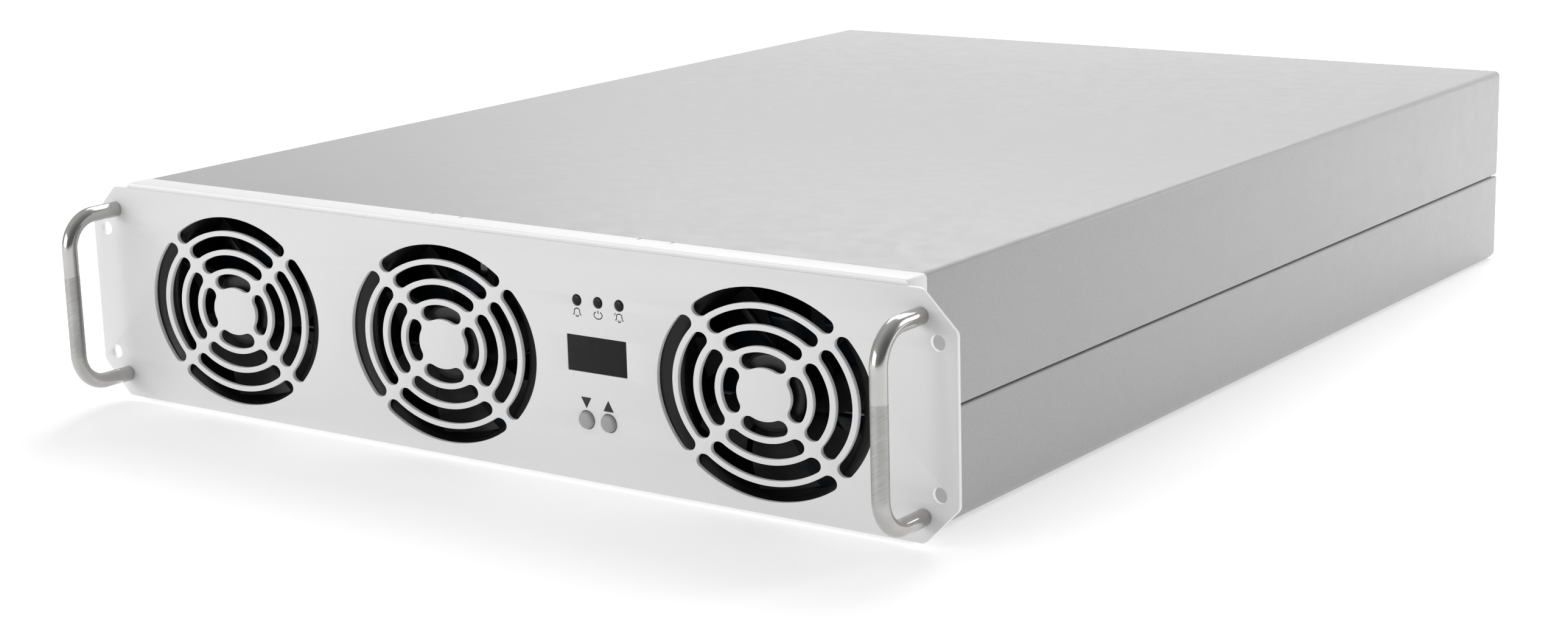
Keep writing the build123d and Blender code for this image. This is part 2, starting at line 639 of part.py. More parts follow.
def display_board():
    """Board with its light sources and switches, each a separate solid."""
    y = (BOARD_FRONT, BOARD_FRONT + BOARD_THICKNESS)
    board = block(around(SCREEN_X, BOARD_WIDTH / 2), y, around(PLATE_MIDDLE, BOARD_HEIGHT / 2))
    for x, z in board_corner_places():
        board -= rod_y(x, z, 1.6, (y[0] - 1, y[1] + 1))
    return Compound(children=[board, *indicator_chips(), *tact_switches()])


def board_spacers():
    group = []
    for x, z in board_corner_places():
        spacer = rod_y(x, z, SPACER_RADIUS, (PLATE_BACK, BOARD_FRONT))
        group.append(spacer - rod_y(x, z, SPACER_BORE, (PLATE_BACK + 2.0, BOARD_FRONT + 1)))
    return Compound(children=group)


def board_screws():
    seat = BOARD_FRONT + BOARD_THICKNESS
    return Compound(children=[small_screw(x, z, seat) for x, z in board_corner_places()])


# ---- cells and their links ----
def cell_places():
    """(side, column from the front, layer bottom) of each cell, in series order from the minus end."""
    backwards = range(CELLS_PER_ROW)
    forwards = list(reversed(backwards))
    order = [(-1, column, LOWER_CELL_Z) for column in forwards]
    order += [(-1, column, UPPER_CELL_Z) for column in backwards]
    order += [(1, column, UPPER_CELL_Z) for column in forwards]
    order += [(1, column, LOWER_CELL_Z) for column in backwards]
    return order


def cell_middle_y(column):
    return CELL_FRONT + CELL_WIDTH / 2 + column * CELL_PITCH


def cell(side, column, bottom):
    """Prismatic cell lying flat, its poles facing the middle aisle."""
    x = sorted((side * AISLE_HALF_WIDTH, side * (AISLE_HALF_WIDTH + CELL_LENGTH)))
    middle_y = cell_middle_y(column)
    can = block(x, around(middle_y, CELL_WIDTH / 2), (bottom, bottom + CELL_THICKNESS))
    can = fillet(can.edges().filter_by(Axis.X), 2.0)
    z = bottom + CELL_THICKNESS / 2
    pole_x = sorted((side * AISLE_HALF_WIDTH, side * LINK_OUTER_X))
    for offset in (-POLE_OFFSET, POLE_OFFSET):
        can += rod_x(middle_y + offset, z, POLE_RADIUS, pole_x)
    vent_x = sorted((side * AISLE_HALF_WIDTH, side * (AISLE_HALF_WIDTH - 0.6)))
    return can + rod_x(middle_y, z, 9.0, vent_x)


def cell_links():
    """Flat links on the poles: along each layer, and one upright link at the front of each column."""
    links = []
    half = LINK_WIDTH / 2
    for side in (-1, 1):
        x = sorted((side * LINK_INNER_X, side * LINK_OUTER_X))
        for bottom in (LOWER_CELL_Z, UPPER_CELL_Z):
            z = around(bottom + CELL_THICKNESS / 2, half)
            for column in range(CELLS_PER_ROW - 1):
                start = cell_middle_y(column) + POLE_OFFSET - half
                end = cell_middle_y(column + 1) - POLE_OFFSET + half
                links.append(block(x, (start, end), z))
        front = cell_middle_y(0) - POLE_OFFSET
        upright_z = (LOWER_CELL_Z + CELL_THICKNESS / 2 - half, UPPER_CELL_Z + CELL_THICKNESS / 2 + half)
        links.append(block(x, around(front, half), upright_z))
    return Compound(children=links + [cross_link()])


def cross_link():
    """Link from the last upper cell on the left to the last upper cell on the right."""
    y = around(cell_middle_y(CELLS_PER_ROW - 1) + POLE_OFFSET, LINK_WIDTH / 2)
    z = around(UPPER_CELL_Z + CELL_THICKNESS / 2, LINK_WIDTH / 2)
    arch = block((-LINK_OUTER_X, LINK_OUTER_X), y, z)
    return arch - block((-LINK_INNER_X, LINK_INNER_X), y, (z[0], z[1] - 3.0))


def insulation_sheets():
    """Sheets under and between the layers of cells, one pair for each column."""
    sheets = []
    for side in (-1, 1):
        x = sorted((side * AISLE_HALF_WIDTH, side * (AISLE_HALF_WIDTH + CELL_LENGTH)))
        for top in (LOWER_CELL_Z, UPPER_CELL_Z):
            z = (top - CELL_GAP + SHEET_SLACK, top - SHEET_SLACK)
            sheets.append(block(x, (CELL_FRONT, CELL_BACK), z))
    return Compound(children=sheets)


def clamp_bolt_ys():
    return [cell_middle_y(column) for column in range(CELLS_PER_ROW)]


def cell_clamp():
    """Channel along the aisle that holds both columns down by their inner edges."""
    y = (CELL_FRONT + 6.0, CELL_BACK - 6.0)
    base_z = (CELL_STACK_TOP, CELL_STACK_TOP + CLAMP_SHEET)
    base = block(around(0, CLAMP_HALF_WIDTH), y, base_z)
    for side in (-1, 1):
        rib_x = sorted((side * (CLAMP_HALF_WIDTH - CLAMP_SHEET), side * CLAMP_HALF_WIDTH))
        base += block(rib_x, y, (CELL_STACK_TOP, CELL_STACK_TOP + CLAMP_RIB_HEIGHT))
    for bolt_y in clamp_bolt_ys():
        base -= rod_z(0, bolt_y, CLAMP_BOLT_RADIUS + 0.5, (base_z[0] - 1, base_z[1] + 1))
    return base


def clamp_bolts():
    group = []
    for y in clamp_bolt_ys():
        head_z = (CELL_STACK_TOP + CLAMP_SHEET + 0.02, CELL_STACK_TOP + CLAMP_SHEET + 4.0)
        bolt = rod_z(0, y, CLAMP_BOLT_RADIUS, (SHEET, head_z[1] + 2.0))
        group.append(bolt + rod_z(0, y, CLAMP_BOLT_HEAD, head_z))
    return Compound(children=group)


# ---- power path at the back ----
def plus_busbar():
    """Copper bars from the last cell to the fuse, on to the breaker, and up to the plus terminal."""
    half = BAR_HEIGHT / 2
    start_y = PACK_POLE_Y - LINK_WIDTH / 2
    lower_stud, upper_stud = BREAKER_STUD_ZS
    past_breaker = BREAKER_X + half
    first = block((LINK_INNER_X, LINK_OUTER_X), (start_y, BAR_Y[1]), around(PACK_POLE_Z, half))
    first += block((LINK_INNER_X, FUSE_X[0] + 2.0), BAR_Y, (PACK_POLE_Z - half, lower_stud + half))
    second = block((FUSE_X[1] - 2.0, past_breaker), BAR_Y, around(lower_stud, half))
    terminal_x = around(TERMINAL_X["plus"], half)
    upper = block((BREAKER_X - half, terminal_x[1]), BAR_Y, around(upper_stud, half))
    upper += block(terminal_x, BAR_Y, (PLATE_MIDDLE - half, upper_stud))
    hole_y = (BAR_Y[0] - 1, BAR_Y[1] + 1)
    second -= rod_y(BREAKER_X, lower_stud, BAR_STUD_HOLE, hole_y)
    upper -= rod_y(BREAKER_X, upper_stud, BAR_STUD_HOLE, hole_y)
    return Compound(children=[first, second, upper])


def minus_busbar():
    """Copper bars from the first cell to the management board, and from it to the minus terminal."""
    half = BAR_HEIGHT / 2
    start_y = PACK_POLE_Y - LINK_WIDTH / 2
    z = around(PACK_POLE_Z, half)
    first = block((-LINK_OUTER_X, -LINK_INNER_X), (start_y, MINUS_FEED_Y[1]), z)
    first += block((MINUS_FEED_END_X, -LINK_INNER_X), MINUS_FEED_Y, z)
    first += rod_y(MINUS_FEED_PIN_X, PACK_POLE_Z, 4.0, (MINUS_FEED_Y[1], MAIN_BOARD_Y[0]))
    terminal_x = around(TERMINAL_X["minus"], half)
    second = block((MINUS_BAR_END_X, terminal_x[1]), MINUS_BAR_Y, MINUS_BAR_Z)
    second += block(terminal_x, MINUS_BAR_Y, (PLATE_MIDDLE - half, MINUS_BAR_Z[1]))
    second += rod_y(MINUS_BAR_PIN_X, sum(MINUS_BAR_Z) / 2, 3.5, (MAIN_BOARD_Y[1], MINUS_BAR_Y[0]))
    return Compound(children=[first, second])


def fuse():
    """Bolt-down fuse between the two lower copper bars."""
    body = block(FUSE_X, FUSE_Y, FUSE_Z)
    return fillet(body.edges().filter_by(Axis.Y), 2.0)


def management_board():
    board = block(MAIN_BOARD_X, MAIN_BOARD_Y, MAIN_BOARD_Z)
    for x, z in PILLAR_PLACES:
        board -= rod_y(x, z, PILLAR_HOLE, (MAIN_BOARD_Y[0] - 1, MAIN_BOARD_Y[1] + 1))
    return board


def heat_sink():
    """Finned block on the board, in the air stream ahead of the exhaust slots."""
    base_back = MAIN_BOARD_Y[1] + HEAT_SINK_BASE
    sink = block(HEAT_SINK_X, (MAIN_BOARD_Y[1], base_back), HEAT_SINK_Z)
    low, high = HEAT_SINK_Z
    pitch = (high - low - HEAT_SINK_FIN) / (HEAT_SINK_FINS - 1)
    for step in range(HEAT_SINK_FINS):
        fin_z = low + HEAT_SINK_FIN / 2 + step * pitch
        sink += block(HEAT_SINK_X, (base_back - 0.6, HEAT_SINK_BACK), around(fin_z, HEAT_SINK_FIN / 2))
    return sink


def board_pillars():
    """Threaded pillars between the management board and the rear panel."""
    group = []
    for x, z in PILLAR_PLACES:
        pillar = rod_y(x, z, PILLAR_RADIUS, (MAIN_BOARD_Y[1], REAR_PANEL_FRONT))
        group.append(pillar - rod_y(x, z, PILLAR_BORE, (REAR_PANEL_FRONT - 12.5, REAR_PANEL_FRONT + 1)))
    return Compound(children=group)


def terminal(x, front_y):
    """Brass power terminal with a blind tapped hole facing backwards."""
    post = rod_y(x, PLATE_MIDDLE, TERMINAL_RADIUS, (front_y, TERMINAL_BACK))
    thread_y = (TERMINAL_BACK - TERMINAL_THREAD_DEPTH, TERMINAL_BACK + 1)
    return post - rod_y(x, PLATE_MIDDLE, TERMINAL_THREAD_RADIUS, thread_y)


def terminal_insulator(x):
    """Flanged insulating bush round a terminal."""
    flange_y = (REAR_PANEL_BACK, REAR_PANEL_BACK + INSULATOR_FLANGE_THICKNESS)
    flange = block(around(x, INSULATOR_FLANGE / 2), flange_y, around(PLATE_MIDDLE, INSULATOR_FLANGE / 2))
    flange = fillet(flange.edges().filter_by(Axis.Y), 4.0)
    bush_y = (REAR_PANEL_FRONT - 8.0, REAR_PANEL_BACK + 1.0)
    flange += rod_y(x, PLATE_MIDDLE, INSULATOR_BUSH_RADIUS, bush_y)
    return flange - rod_y(x, PLATE_MIDDLE, TERMINAL_RADIUS, (bush_y[0] - 1, flange_y[1] + 1))


def breaker_body():
    """Breaker case with a pocket for the toggle, a collar outside the panel and two studs in front."""
    neck_x = around(BREAKER_X, BREAKER_NECK[0] / 2)
    body = block(neck_x, (BREAKER_FRONT, REAR_PANEL_BACK), around(PLATE_MIDDLE, BREAKER_NECK[1] / 2))
    deep_y = (BREAKER_FRONT, REAR_PANEL_FRONT - 2.0)
    body += block(neck_x, deep_y, around(PLATE_MIDDLE, BREAKER_DEEP_HEIGHT / 2))
    collar_y = (REAR_PANEL_BACK, REAR_PANEL_BACK + 2.5)
    collar_x = around(BREAKER_X, BREAKER_COLLAR[0] / 2)
    body += block(collar_x, collar_y, around(PLATE_MIDDLE, BREAKER_COLLAR[1] / 2))
    for z in BREAKER_STUD_ZS:
        body += rod_y(BREAKER_X, z, BREAKER_STUD_RADIUS, (BREAKER_FRONT - 10.0, BREAKER_FRONT + 1.0))
    pocket_y = (TOGGLE_PIVOT_Y - 10.0, collar_y[1] + 1.0)
    pocket_x = around(BREAKER_X, BREAKER_POCKET[0] / 2)
    body -= block(pocket_x, pocket_y, around(PLATE_MIDDLE, BREAKER_POCKET[1] / 2))
    return body - rod_x(TOGGLE_PIVOT_Y, PLATE_MIDDLE, SHAFT_RADIUS, toggle_pin_x())


def toggle_pin_x():
    return around(BREAKER_X, BREAKER_NECK[0] / 2 - 1.0)


def toggle_pin():
    return rod_x(TOGGLE_PIVOT_Y, PLATE_MIDDLE, SHAFT_RADIUS, toggle_pin_x())


def breaker_toggle():
    """Lever on its hub, tilted upwards in the closed position."""
    hub = Rot(0, 90, 0) * Cylinder(*TOGGLE_HUB)
    lever = Pos(0, TOGGLE_LEVER[1] / 2, 0) * Box(*TOGGLE_LEVER)
    lever = fillet(lever.edges().group_by(Axis.Y)[-1], 1.2)
    lever = (hub + lever) - Rot(0, 90, 0) * Cylinder(SHAFT_RADIUS + SHAFT_CLEARANCE, 10.0)
    return Pos(BREAKER_X, TOGGLE_PIVOT_Y, PLATE_MIDDLE) * Rot(TOGGLE_TILT, 0, 0) * lever


def data_jack(x):
    """Eight-way data socket; the plug enters from behind."""
    body_y = (JACK_FRONT, REAR_PANEL_BACK + 0.8)
    socket_y = (JACK_SOCKET_FRONT, body_y[1] + 1.0)
    body = block(around(x, JACK_BODY[0] / 2), body_y, around(JACK_Z, JACK_BODY[1] / 2))
    socket = block(around(x, JACK_SOCKET[0] / 2), socket_y, around(JACK_Z, JACK_SOCKET[1] / 2))
    socket_bottom = JACK_Z - JACK_SOCKET[1] / 2
    latch = block(around(x, JACK_LATCH_WIDTH / 2), socket_y, (socket_bottom - 1.8, socket_bottom + 0.2))
    return body - socket - latch


def earth_stud():
    """Earth stud with its flange inside the panel and its nut on the shoulder outside."""
    shoulder_y = (REAR_PANEL_FRONT, REAR_PANEL_BACK + EARTH_SHOULDER)
    free_y = (shoulder_y[1], shoulder_y[1] + EARTH_FREE_LENGTH)
    stud = rod_y(EARTH_X, EARTH_Z, EARTH_SHOULDER_RADIUS, shoulder_y)
    stud += rod_y(EARTH_X, EARTH_Z, EARTH_FREE_RADIUS, free_y)
    stud += rod_y(EARTH_X, EARTH_Z, EARTH_FLANGE_RADIUS, (REAR_PANEL_FRONT - 2.0, REAR_PANEL_FRONT))
    nut_y = (REAR_PANEL_BACK, REAR_PANEL_BACK + EARTH_NUT_HEIGHT)
    nut = hex_nut(EARTH_X, EARTH_Z, EARTH_NUT_ACROSS, EARTH_SHOULDER_RADIUS + 0.02, nut_y)
    return Compound(children=[stud, nut])


# ---- assembly ----
def save():
    """Move every piece into the final frame and write it."""
    os.makedirs("parts", exist_ok=True)
    for name, shape in PIECES.items():
        export_step(Location((0, FACE_Y, 0)) * shape, f"parts/{name}.step")
    print(f"{len(PIECES)} parts, overall length {OVERALL_LENGTH:.1f}, face plate at y {FACE_Y:.2f}")


def build_front():
    keep("ear_plate", ear_plate())
    keep("bezel_frame", bezel_frame())
    keep("handle_left", handle(-1))
    keep("handle_right", handle(1))
    keep("handle_screws", handle_screws())
    for name, x in FAN_CENTRES.items():
        keep(f"fan_frame_{name}", fan_frame(x))
        keep(f"fan_rotor_{name}", fan_rotor(x))
    keep("fan_coils", Compound(children=[fan_coil(x) for x in FAN_CENTRES.values()]))
    keep("fan_fixings", fan_fixings())
    keep("screen_window", screen_window())
    keep("screen_module", screen_module())
    keep("indicator_lenses", indicator_lenses())
    for name, x in BUTTON_X.items():
        keep(f"button_{name}", button(x))
    keep("display_board", display_board())
    keep("board_spacers", board_spacers())
    keep("board_screws", board_screws())


def build_cells():
    for number, place in enumerate(cell_places(), start=1):
        keep(f"cell_{number:02d}", cell(*place))
    keep("cell_links", cell_links())
    keep("insulation_sheets", insulation_sheets())
    keep("cell_clamp", cell_clamp())
    keep("clamp_bolts", clamp_bolts())


def build_back():
    keep("rear_panel", rear_panel())
    keep("rear_screws", rear_screws())
    keep("plus_busbar", plus_busbar())
    keep("minus_busbar", minus_busbar())
    keep("fuse", fuse())
    keep("management_board", management_board())
    keep("heat_sink", heat_sink())
    keep("board_pillars", board_pillars())
    keep("terminal_minus", terminal(TERMINAL_X["minus"], MINUS_BAR_Y[1]))
    keep("terminal_plus", terminal(TERMINAL_X["plus"], BAR_Y[1]))
    keep("insulator_minus", terminal_insulator(TERMINAL_X["minus"]))
    keep("insulator_plus", terminal_insulator(TERMINAL_X["plus"]))
    keep("breaker_body", breaker_body())
    keep("toggle_pin", toggle_pin())
    keep("breaker_toggle", breaker_toggle())
    keep("data_jacks", Compound(children=[data_jack(x) for x in JACK_CENTRES]))
    keep("earth_stud", earth_stud())


keep("top_cover", top_cover())
keep("lower_tray", lower_tray())
build_front()
build_cells()
build_back()
save()
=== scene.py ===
import json
import math

import bmesh
import bpy
from mathutils import Matrix, Vector


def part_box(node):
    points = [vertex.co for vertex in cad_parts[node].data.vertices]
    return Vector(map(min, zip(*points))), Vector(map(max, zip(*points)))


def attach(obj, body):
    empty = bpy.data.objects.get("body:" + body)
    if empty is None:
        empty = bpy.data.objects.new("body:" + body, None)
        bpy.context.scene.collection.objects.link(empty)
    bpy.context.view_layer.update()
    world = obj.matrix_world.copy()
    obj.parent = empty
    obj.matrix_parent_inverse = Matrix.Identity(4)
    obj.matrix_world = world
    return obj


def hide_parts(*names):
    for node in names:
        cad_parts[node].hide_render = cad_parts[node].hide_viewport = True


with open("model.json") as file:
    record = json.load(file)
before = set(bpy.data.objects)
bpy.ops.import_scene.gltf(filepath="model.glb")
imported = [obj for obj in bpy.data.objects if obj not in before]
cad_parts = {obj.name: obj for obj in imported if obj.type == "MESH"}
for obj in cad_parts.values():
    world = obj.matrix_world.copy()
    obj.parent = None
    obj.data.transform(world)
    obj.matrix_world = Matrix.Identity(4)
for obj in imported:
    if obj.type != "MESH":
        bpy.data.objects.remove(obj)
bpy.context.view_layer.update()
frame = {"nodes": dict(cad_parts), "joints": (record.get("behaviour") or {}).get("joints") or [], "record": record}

# Looks for a rack-mount battery module: powder-coated face plate, frame and case, polished bow
# handles, three fans behind ring grilles, screen, indicators, buttons and the rear connectors.
# Meshes are built in millimetres in the CAD frame and scaled to metres when they become pieces.

MM = 0.001

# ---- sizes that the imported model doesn't state, in millimetres ----
PLATE_CHAMFER = 16.0
PLATE_CORNER_ROUND = 4.0
PLATE_EASE = 0.16
HANDLE_HALF_SPAN = 40.0
HANDLE_ROD_RADIUS = 3.6
HANDLE_BEND = 15.0

GRILLE_WIDTH = 107.0
GRILLE_HEIGHT = 88.0
INLET_WIDTH = 107.2
INLET_DEPTH = 5.0
RING_INNER_RADII = (11.4, 20.6, 29.8, 38.9)
RING_SLOT_WIDTH = 6.7
SPOKE_WIDTH = 3.0
SPOKE_ANGLES = (45.0, 135.0, 225.0, 315.0)
FAN_SIZE = 92.0
FAN_HOLE_PITCH = 82.5
FAN_DUCT_RADIUS = 44.25
BLADE_TIP_RADIUS = 42.8
BLADE_COUNT = 7
HUB_RADIUS = 17.0
HUB_WALL = 1.6
SHAFT_RADIUS = 1.5
SHAFT_END = 1.8
FAN_FLANGE = 3.6
FAN_CORNER = 4.0
MOTOR_SEAT = 3.0
BOSS_RADIUS = 4.5
BOSS_START = 7.0

SCREEN_SIZE = (31.6, 15.6)
LENS_RADIUS = 2.4
LENS_HOLE_RADIUS = 2.5
LENS_FLANGE_RADIUS = 3.4
LIGHT_PIPE_RADIUS = 1.5
BUTTON_RADIUS = 3.8
BUTTON_HOLE_RADIUS = 4.1
BUTTON_COLLAR_RADIUS = 5.1
BUTTON_STEM_RADIUS = 1.75
INK_WIDTH = 0.48
FINE_INK_WIDTH = 0.34
INK_HEIGHT = 0.04
SYMBOL_DROP = 5.15
SYMBOL_STRETCH = (1.05, 0.78)
TRIANGLE_RISE = 7.4

BEZEL_SHEET = 1.5
BEZEL_FLANGE = 5.2
BEZEL_CORNER = 2.0
TAB_CENTRES = (-27.3, 87.7)
TAB_WIDTH = 17.0
TAB_SLIT = 0.9
TAB_SLIT_LENGTH = 3.0
TONGUE_HALF_WIDTH = 190.0
TONGUE_START = 5.0

SHEET = 1.2
TOP_BEND = 3.0
BOTTOM_BEND = 4.5
HEM_THICKNESS = 2.4
SEAM_EASE = 0.7
LEDGE_INNER = 214.0
REAR_LIP = 9.5
HEM_FOLD = 9.0
LIP_INSET = 8.0

VENT_COLUMNS = 24
VENT_PITCH = 7.0
VENT_FIRST_X = -203.0
VENT_WIDTH = 3.4
VENT_HEIGHT = 34.0
VENT_ROW_OFFSET = 20.0
PANEL_SCREW_X = [-195.0 + 97.5 * step for step in range(5)]
PANEL_SCREW_INSET = 4.0
PANEL_SCREW_HEAD = (2.9, 2.0)
PANEL_SCREW_RADIUS = 1.5
PANEL_SCREW_LENGTH = 6.0
PILLAR_PLACES = ((-192.0, 18.0), (-192.0, 87.0), (-38.0, 18.0), (-60.0, 87.0))
THREAD_PITCH = 1.25
THREAD_DEPTH = 0.55
BUSH_RADIUS = 12.0
BUSH_RIM_RADIUS = 13.2
BREAKER_NECK = (20.0, 44.0)
BREAKER_COLLAR = (28.0, 52.0)
BREAKER_POCKET = (9.2, 24.0)
BREAKER_FRONT = 570.0
BREAKER_STEP = 588.0
BREAKER_STUD_ZS = (30.0, 74.0)
BREAKER_STUD_RADIUS = 3.0
BREAKER_STUD_LENGTH = 10.0
LEVER_SIZE = (7.0, 20.0, 4.6)
LEVER_HUB = (5.0, 8.4)
LEVER_TILT = 20.0
LEVER_RIBS = (14.5, 16.5, 18.5)
JACK_BODY = (15.8, 13.8)
JACK_SOCKET = (11.8, 8.4)
JACK_LATCH = (6.4, 1.8)
JACK_BASE = 6.0
JACK_WIRES = 8
JACK_WIRE_PITCH = 1.02
JACK_WIRE_RADIUS = 0.2
EARTH_FLANGE_RADIUS = 6.0
EARTH_SHOULDER_RADIUS = 3.3
EARTH_SHOULDER = 5.5
EARTH_ROOT_RADIUS = 2.5
EARTH_NUT_ACROSS = 10.0
EARTH_NUT = (1.0, 5.0)
EARTH_WASHER_RADIUS = 5.6

# ---- lighting, with the side of the surroundings that is dimmed as a direction ----
DIM_SIDE = (0.94, -0.34, 0.0)
WORLD_STRENGTH = 0.64
FLOOR_GLOW = 0.32


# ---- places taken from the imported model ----
def box_mm(node):
    low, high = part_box(node)
    return low / MM, high / MM


def middle_mm(node):
    low, high = box_mm(node)
    return (low + high) / 2


MOUNTS = {mount["name"]: mount for mount in frame["record"]["mounts"]}
JOINTS = {joint["name"]: joint for joint in frame["joints"]}
PLATE_LOW, PLATE_HIGH = box_mm("ear_plate")
PLATE_MIDDLE_Z = (PLATE_LOW.z + PLATE_HIGH.z) / 2
FACE = PLATE_LOW.y
PLATE_BACK = PLATE_HIGH.y
COVER_LOW, COVER_HIGH = box_mm("top_cover")
TRAY_LOW, TRAY_HIGH = box_mm("lower_tray")
BEZEL_LOW, BEZEL_HIGH = box_mm("bezel_frame")
PANEL_LOW, PANEL_HIGH = box_mm("rear_panel")
CASE_TOP = COVER_HIGH.z
CASE_HALF = COVER_HIGH.x
CASE_BACK = COVER_HIGH.y
CASE_INNER = CASE_HALF - SHEET
SEAM_UPPER = TRAY_HIGH.z + 1.0
BEZEL_BACK = COVER_LOW.y
FAN_SIDES = ("left", "middle", "right")


def fan_centre(side):
    place = JOINTS[f"fan_{side}_spin"]["pos_m"]
    return place[0] / MM, place[2] / MM


def lens_centres():
    low, high = box_mm("indicator_lenses")
    first = low.x + LENS_FLANGE_RADIUS
    last = high.x - LENS_FLANGE_RADIUS
    return [(x, (low.z + high.z) / 2) for x in (first, (first + last) / 2, last)]


# ---- outlines in (x, z) ----
def arc(x, z, radius, start, end, steps):
    """Points of an arc between two angles in degrees, both ends included."""
    points = []
    for step in range(steps + 1):
        angle = math.radians(start + (end - start) * step / steps)
        points.append((x + radius * math.cos(angle), z + radius * math.sin(angle)))
    return points


def circle(x, z, radius, steps=40):
    return arc(x, z, radius, 0.0, 360.0, steps)[:-1]


def rounded(corners, steps=8):
    """Closed outline through (x, z, radius) corners."""
    points = []
    for index, (x, z, radius) in enumerate(corners):
        here = Vector((x, z))
        if radius == 0:
            points.append((x, z))
            continue
        before = (Vector(corners[index - 1][:2]) - here).normalized()
        after = (Vector(corners[(index + 1) % len(corners)][:2]) - here).normalized()
        half = before.angle(after) / 2
        reach = radius / math.tan(half)
        centre = here + (before + after).normalized() * radius / math.sin(half)
        start = here + before * reach - centre
        end = here + after * reach - centre
        first = math.degrees(math.atan2(start.y, start.x))
        sweep = math.degrees(math.atan2(end.y, end.x)) - first
        sweep = (sweep + 180.0) % 360.0 - 180.0
        points += arc(centre.x, centre.y, radius, first, first + sweep, steps)
    return points


def rectangle(x, z, width, height, radius=0.0, steps=8):
    left, right = x - width / 2, x + width / 2
    low, high = z - height / 2, z + height / 2
    corners = [(left, low), (right, low), (right, high), (left, high)]
    return rounded([(a, b, radius) for a, b in corners], steps)


def upright_slot(x, z, width, height):
    straight = height / 2 - width / 2
    return arc(x, z + straight, width / 2, 0, 180, 10) + arc(x, z - straight, width / 2, 180, 360, 10)


def ring_slot(x, z, inner_radius, middle_angle):
    """One rounded arc slot of a grille, on rings drawn out sideways into ovals."""
    half = RING_SLOT_WIDTH / 2
    radius = inner_radius + half
    sweep = 45.0 - math.degrees((half + SPOKE_WIDTH / 2) / radius)
    start, end = middle_angle - sweep, middle_angle + sweep
    steps = 28
    first, last = (arc(0.0, 0.0, radius, angle, angle, 1)[0] for angle in (start, end))
    points = arc(0.0, 0.0, radius + half, start, end, steps)
    points += arc(*last, half, end, end + 180, 12)[1:-1]
    points += arc(0.0, 0.0, radius - half, end, start, steps)
    points += arc(*first, half, start + 180, start + 360, 12)[1:-1]
    round_width = 2 * (RING_INNER_RADII[-1] + RING_SLOT_WIDTH)
    wide, tall = GRILLE_WIDTH / round_width, GRILLE_HEIGHT / round_width
    return [(x + along * wide, z + up * tall) for along, up in points]


# ---- mesh builders, all in millimetres ----
def evaluated_mesh(holder):
    """Mesh of a temporary object with its modifiers applied; the object is removed."""
    bpy.context.scene.collection.objects.link(holder)
    depsgraph = bpy.context.evaluated_depsgraph_get()
    mesh = bpy.data.meshes.new_from_object(holder.evaluated_get(depsgraph))
    bpy.data.objects.remove(holder)
    return mesh


def cleaned(mesh, distance=0.002):
    """Weld the mesh's seams and face it outwards."""
    work = bmesh.new()
    work.from_mesh(mesh)
    bmesh.ops.remove_doubles(work, verts=work.verts, dist=distance)
    bmesh.ops.recalc_face_normals(work, faces=work.faces)
    work.to_mesh(mesh)
    work.free()
    return mesh


def cut_sheet(outlines, y, ease):
    """Plate over the (front, back) pair y, cut to the outlines, its edges eased all round."""
    curve = bpy.data.curves.new("outline", "CURVE")
    curve.dimensions = "2D"
    curve.fill_mode = "BOTH"
    for outline in outlines:
        spline = curve.splines.new("POLY")
        spline.points.add(len(outline) - 1)
        for point, (x, z) in zip(spline.points, outline):
            point.co = (x, z, 0.0, 1.0)
        spline.use_cyclic_u = True
    curve.extrude = (y[1] - y[0]) / 2 - ease
    curve.bevel_depth = ease
    curve.bevel_resolution = 2
    curve.offset = -ease
    mesh = evaluated_mesh(bpy.data.objects.new("outline", curve))
    bpy.data.curves.remove(curve)
    upright = Matrix.Rotation(math.radians(90), 4, "X")
    mesh.transform(Matrix.Translation((0, (y[0] + y[1]) / 2, 0)) @ upright)
    return cleaned(mesh)


def finished(work, name):
    """Mesh of a working bmesh, its faces turned outwards."""
    bmesh.ops.recalc_face_normals(work, faces=work.faces)
    mesh = bpy.data.meshes.new(name)
    work.to_mesh(mesh)
    work.free()
    return mesh


def capped_tube(rings, name):
    """Skin over rings of points that all have the same count, closed at both ends."""
    work = bmesh.new()
    rings = [[work.verts.new(point) for point in ring] for ring in rings]
    count = len(rings[0])
    for near, far in zip(rings, rings[1:]):
        for step in range(count):
            after = (step + 1) % count
            work.faces.new((near[step], near[after], far[after], far[step]))
    work.faces.new(rings[0])
    work.faces.new(rings[-1])
    return finished(work, name)


def wire(points, kind, radius, segments, closed=False):
    """Round wire through (x, y, z) points; a BEZIER wire bends smoothly, a POLY wire sharply."""
    curve = bpy.data.curves.new("wire", "CURVE")
    curve.dimensions = "3D"
    curve.bevel_depth = radius
    curve.bevel_resolution = segments
    curve.use_fill_caps = True
    spline = curve.splines.new(kind)
    if kind == "BEZIER":
        spline.bezier_points.add(len(points) - 1)
        for point, place in zip(spline.bezier_points, points):
            point.co = place
            point.handle_left_type = "AUTO"
            point.handle_right_type = "AUTO"
    else:
        spline.points.add(len(points) - 1)
        for point, place in zip(spline.points, points):
            point.co = (*place, 1.0)
    spline.use_cyclic_u = closed
    mesh = evaluated_mesh(bpy.data.objects.new("wire", curve))
    bpy.data.curves.remove(curve)
    return mesh


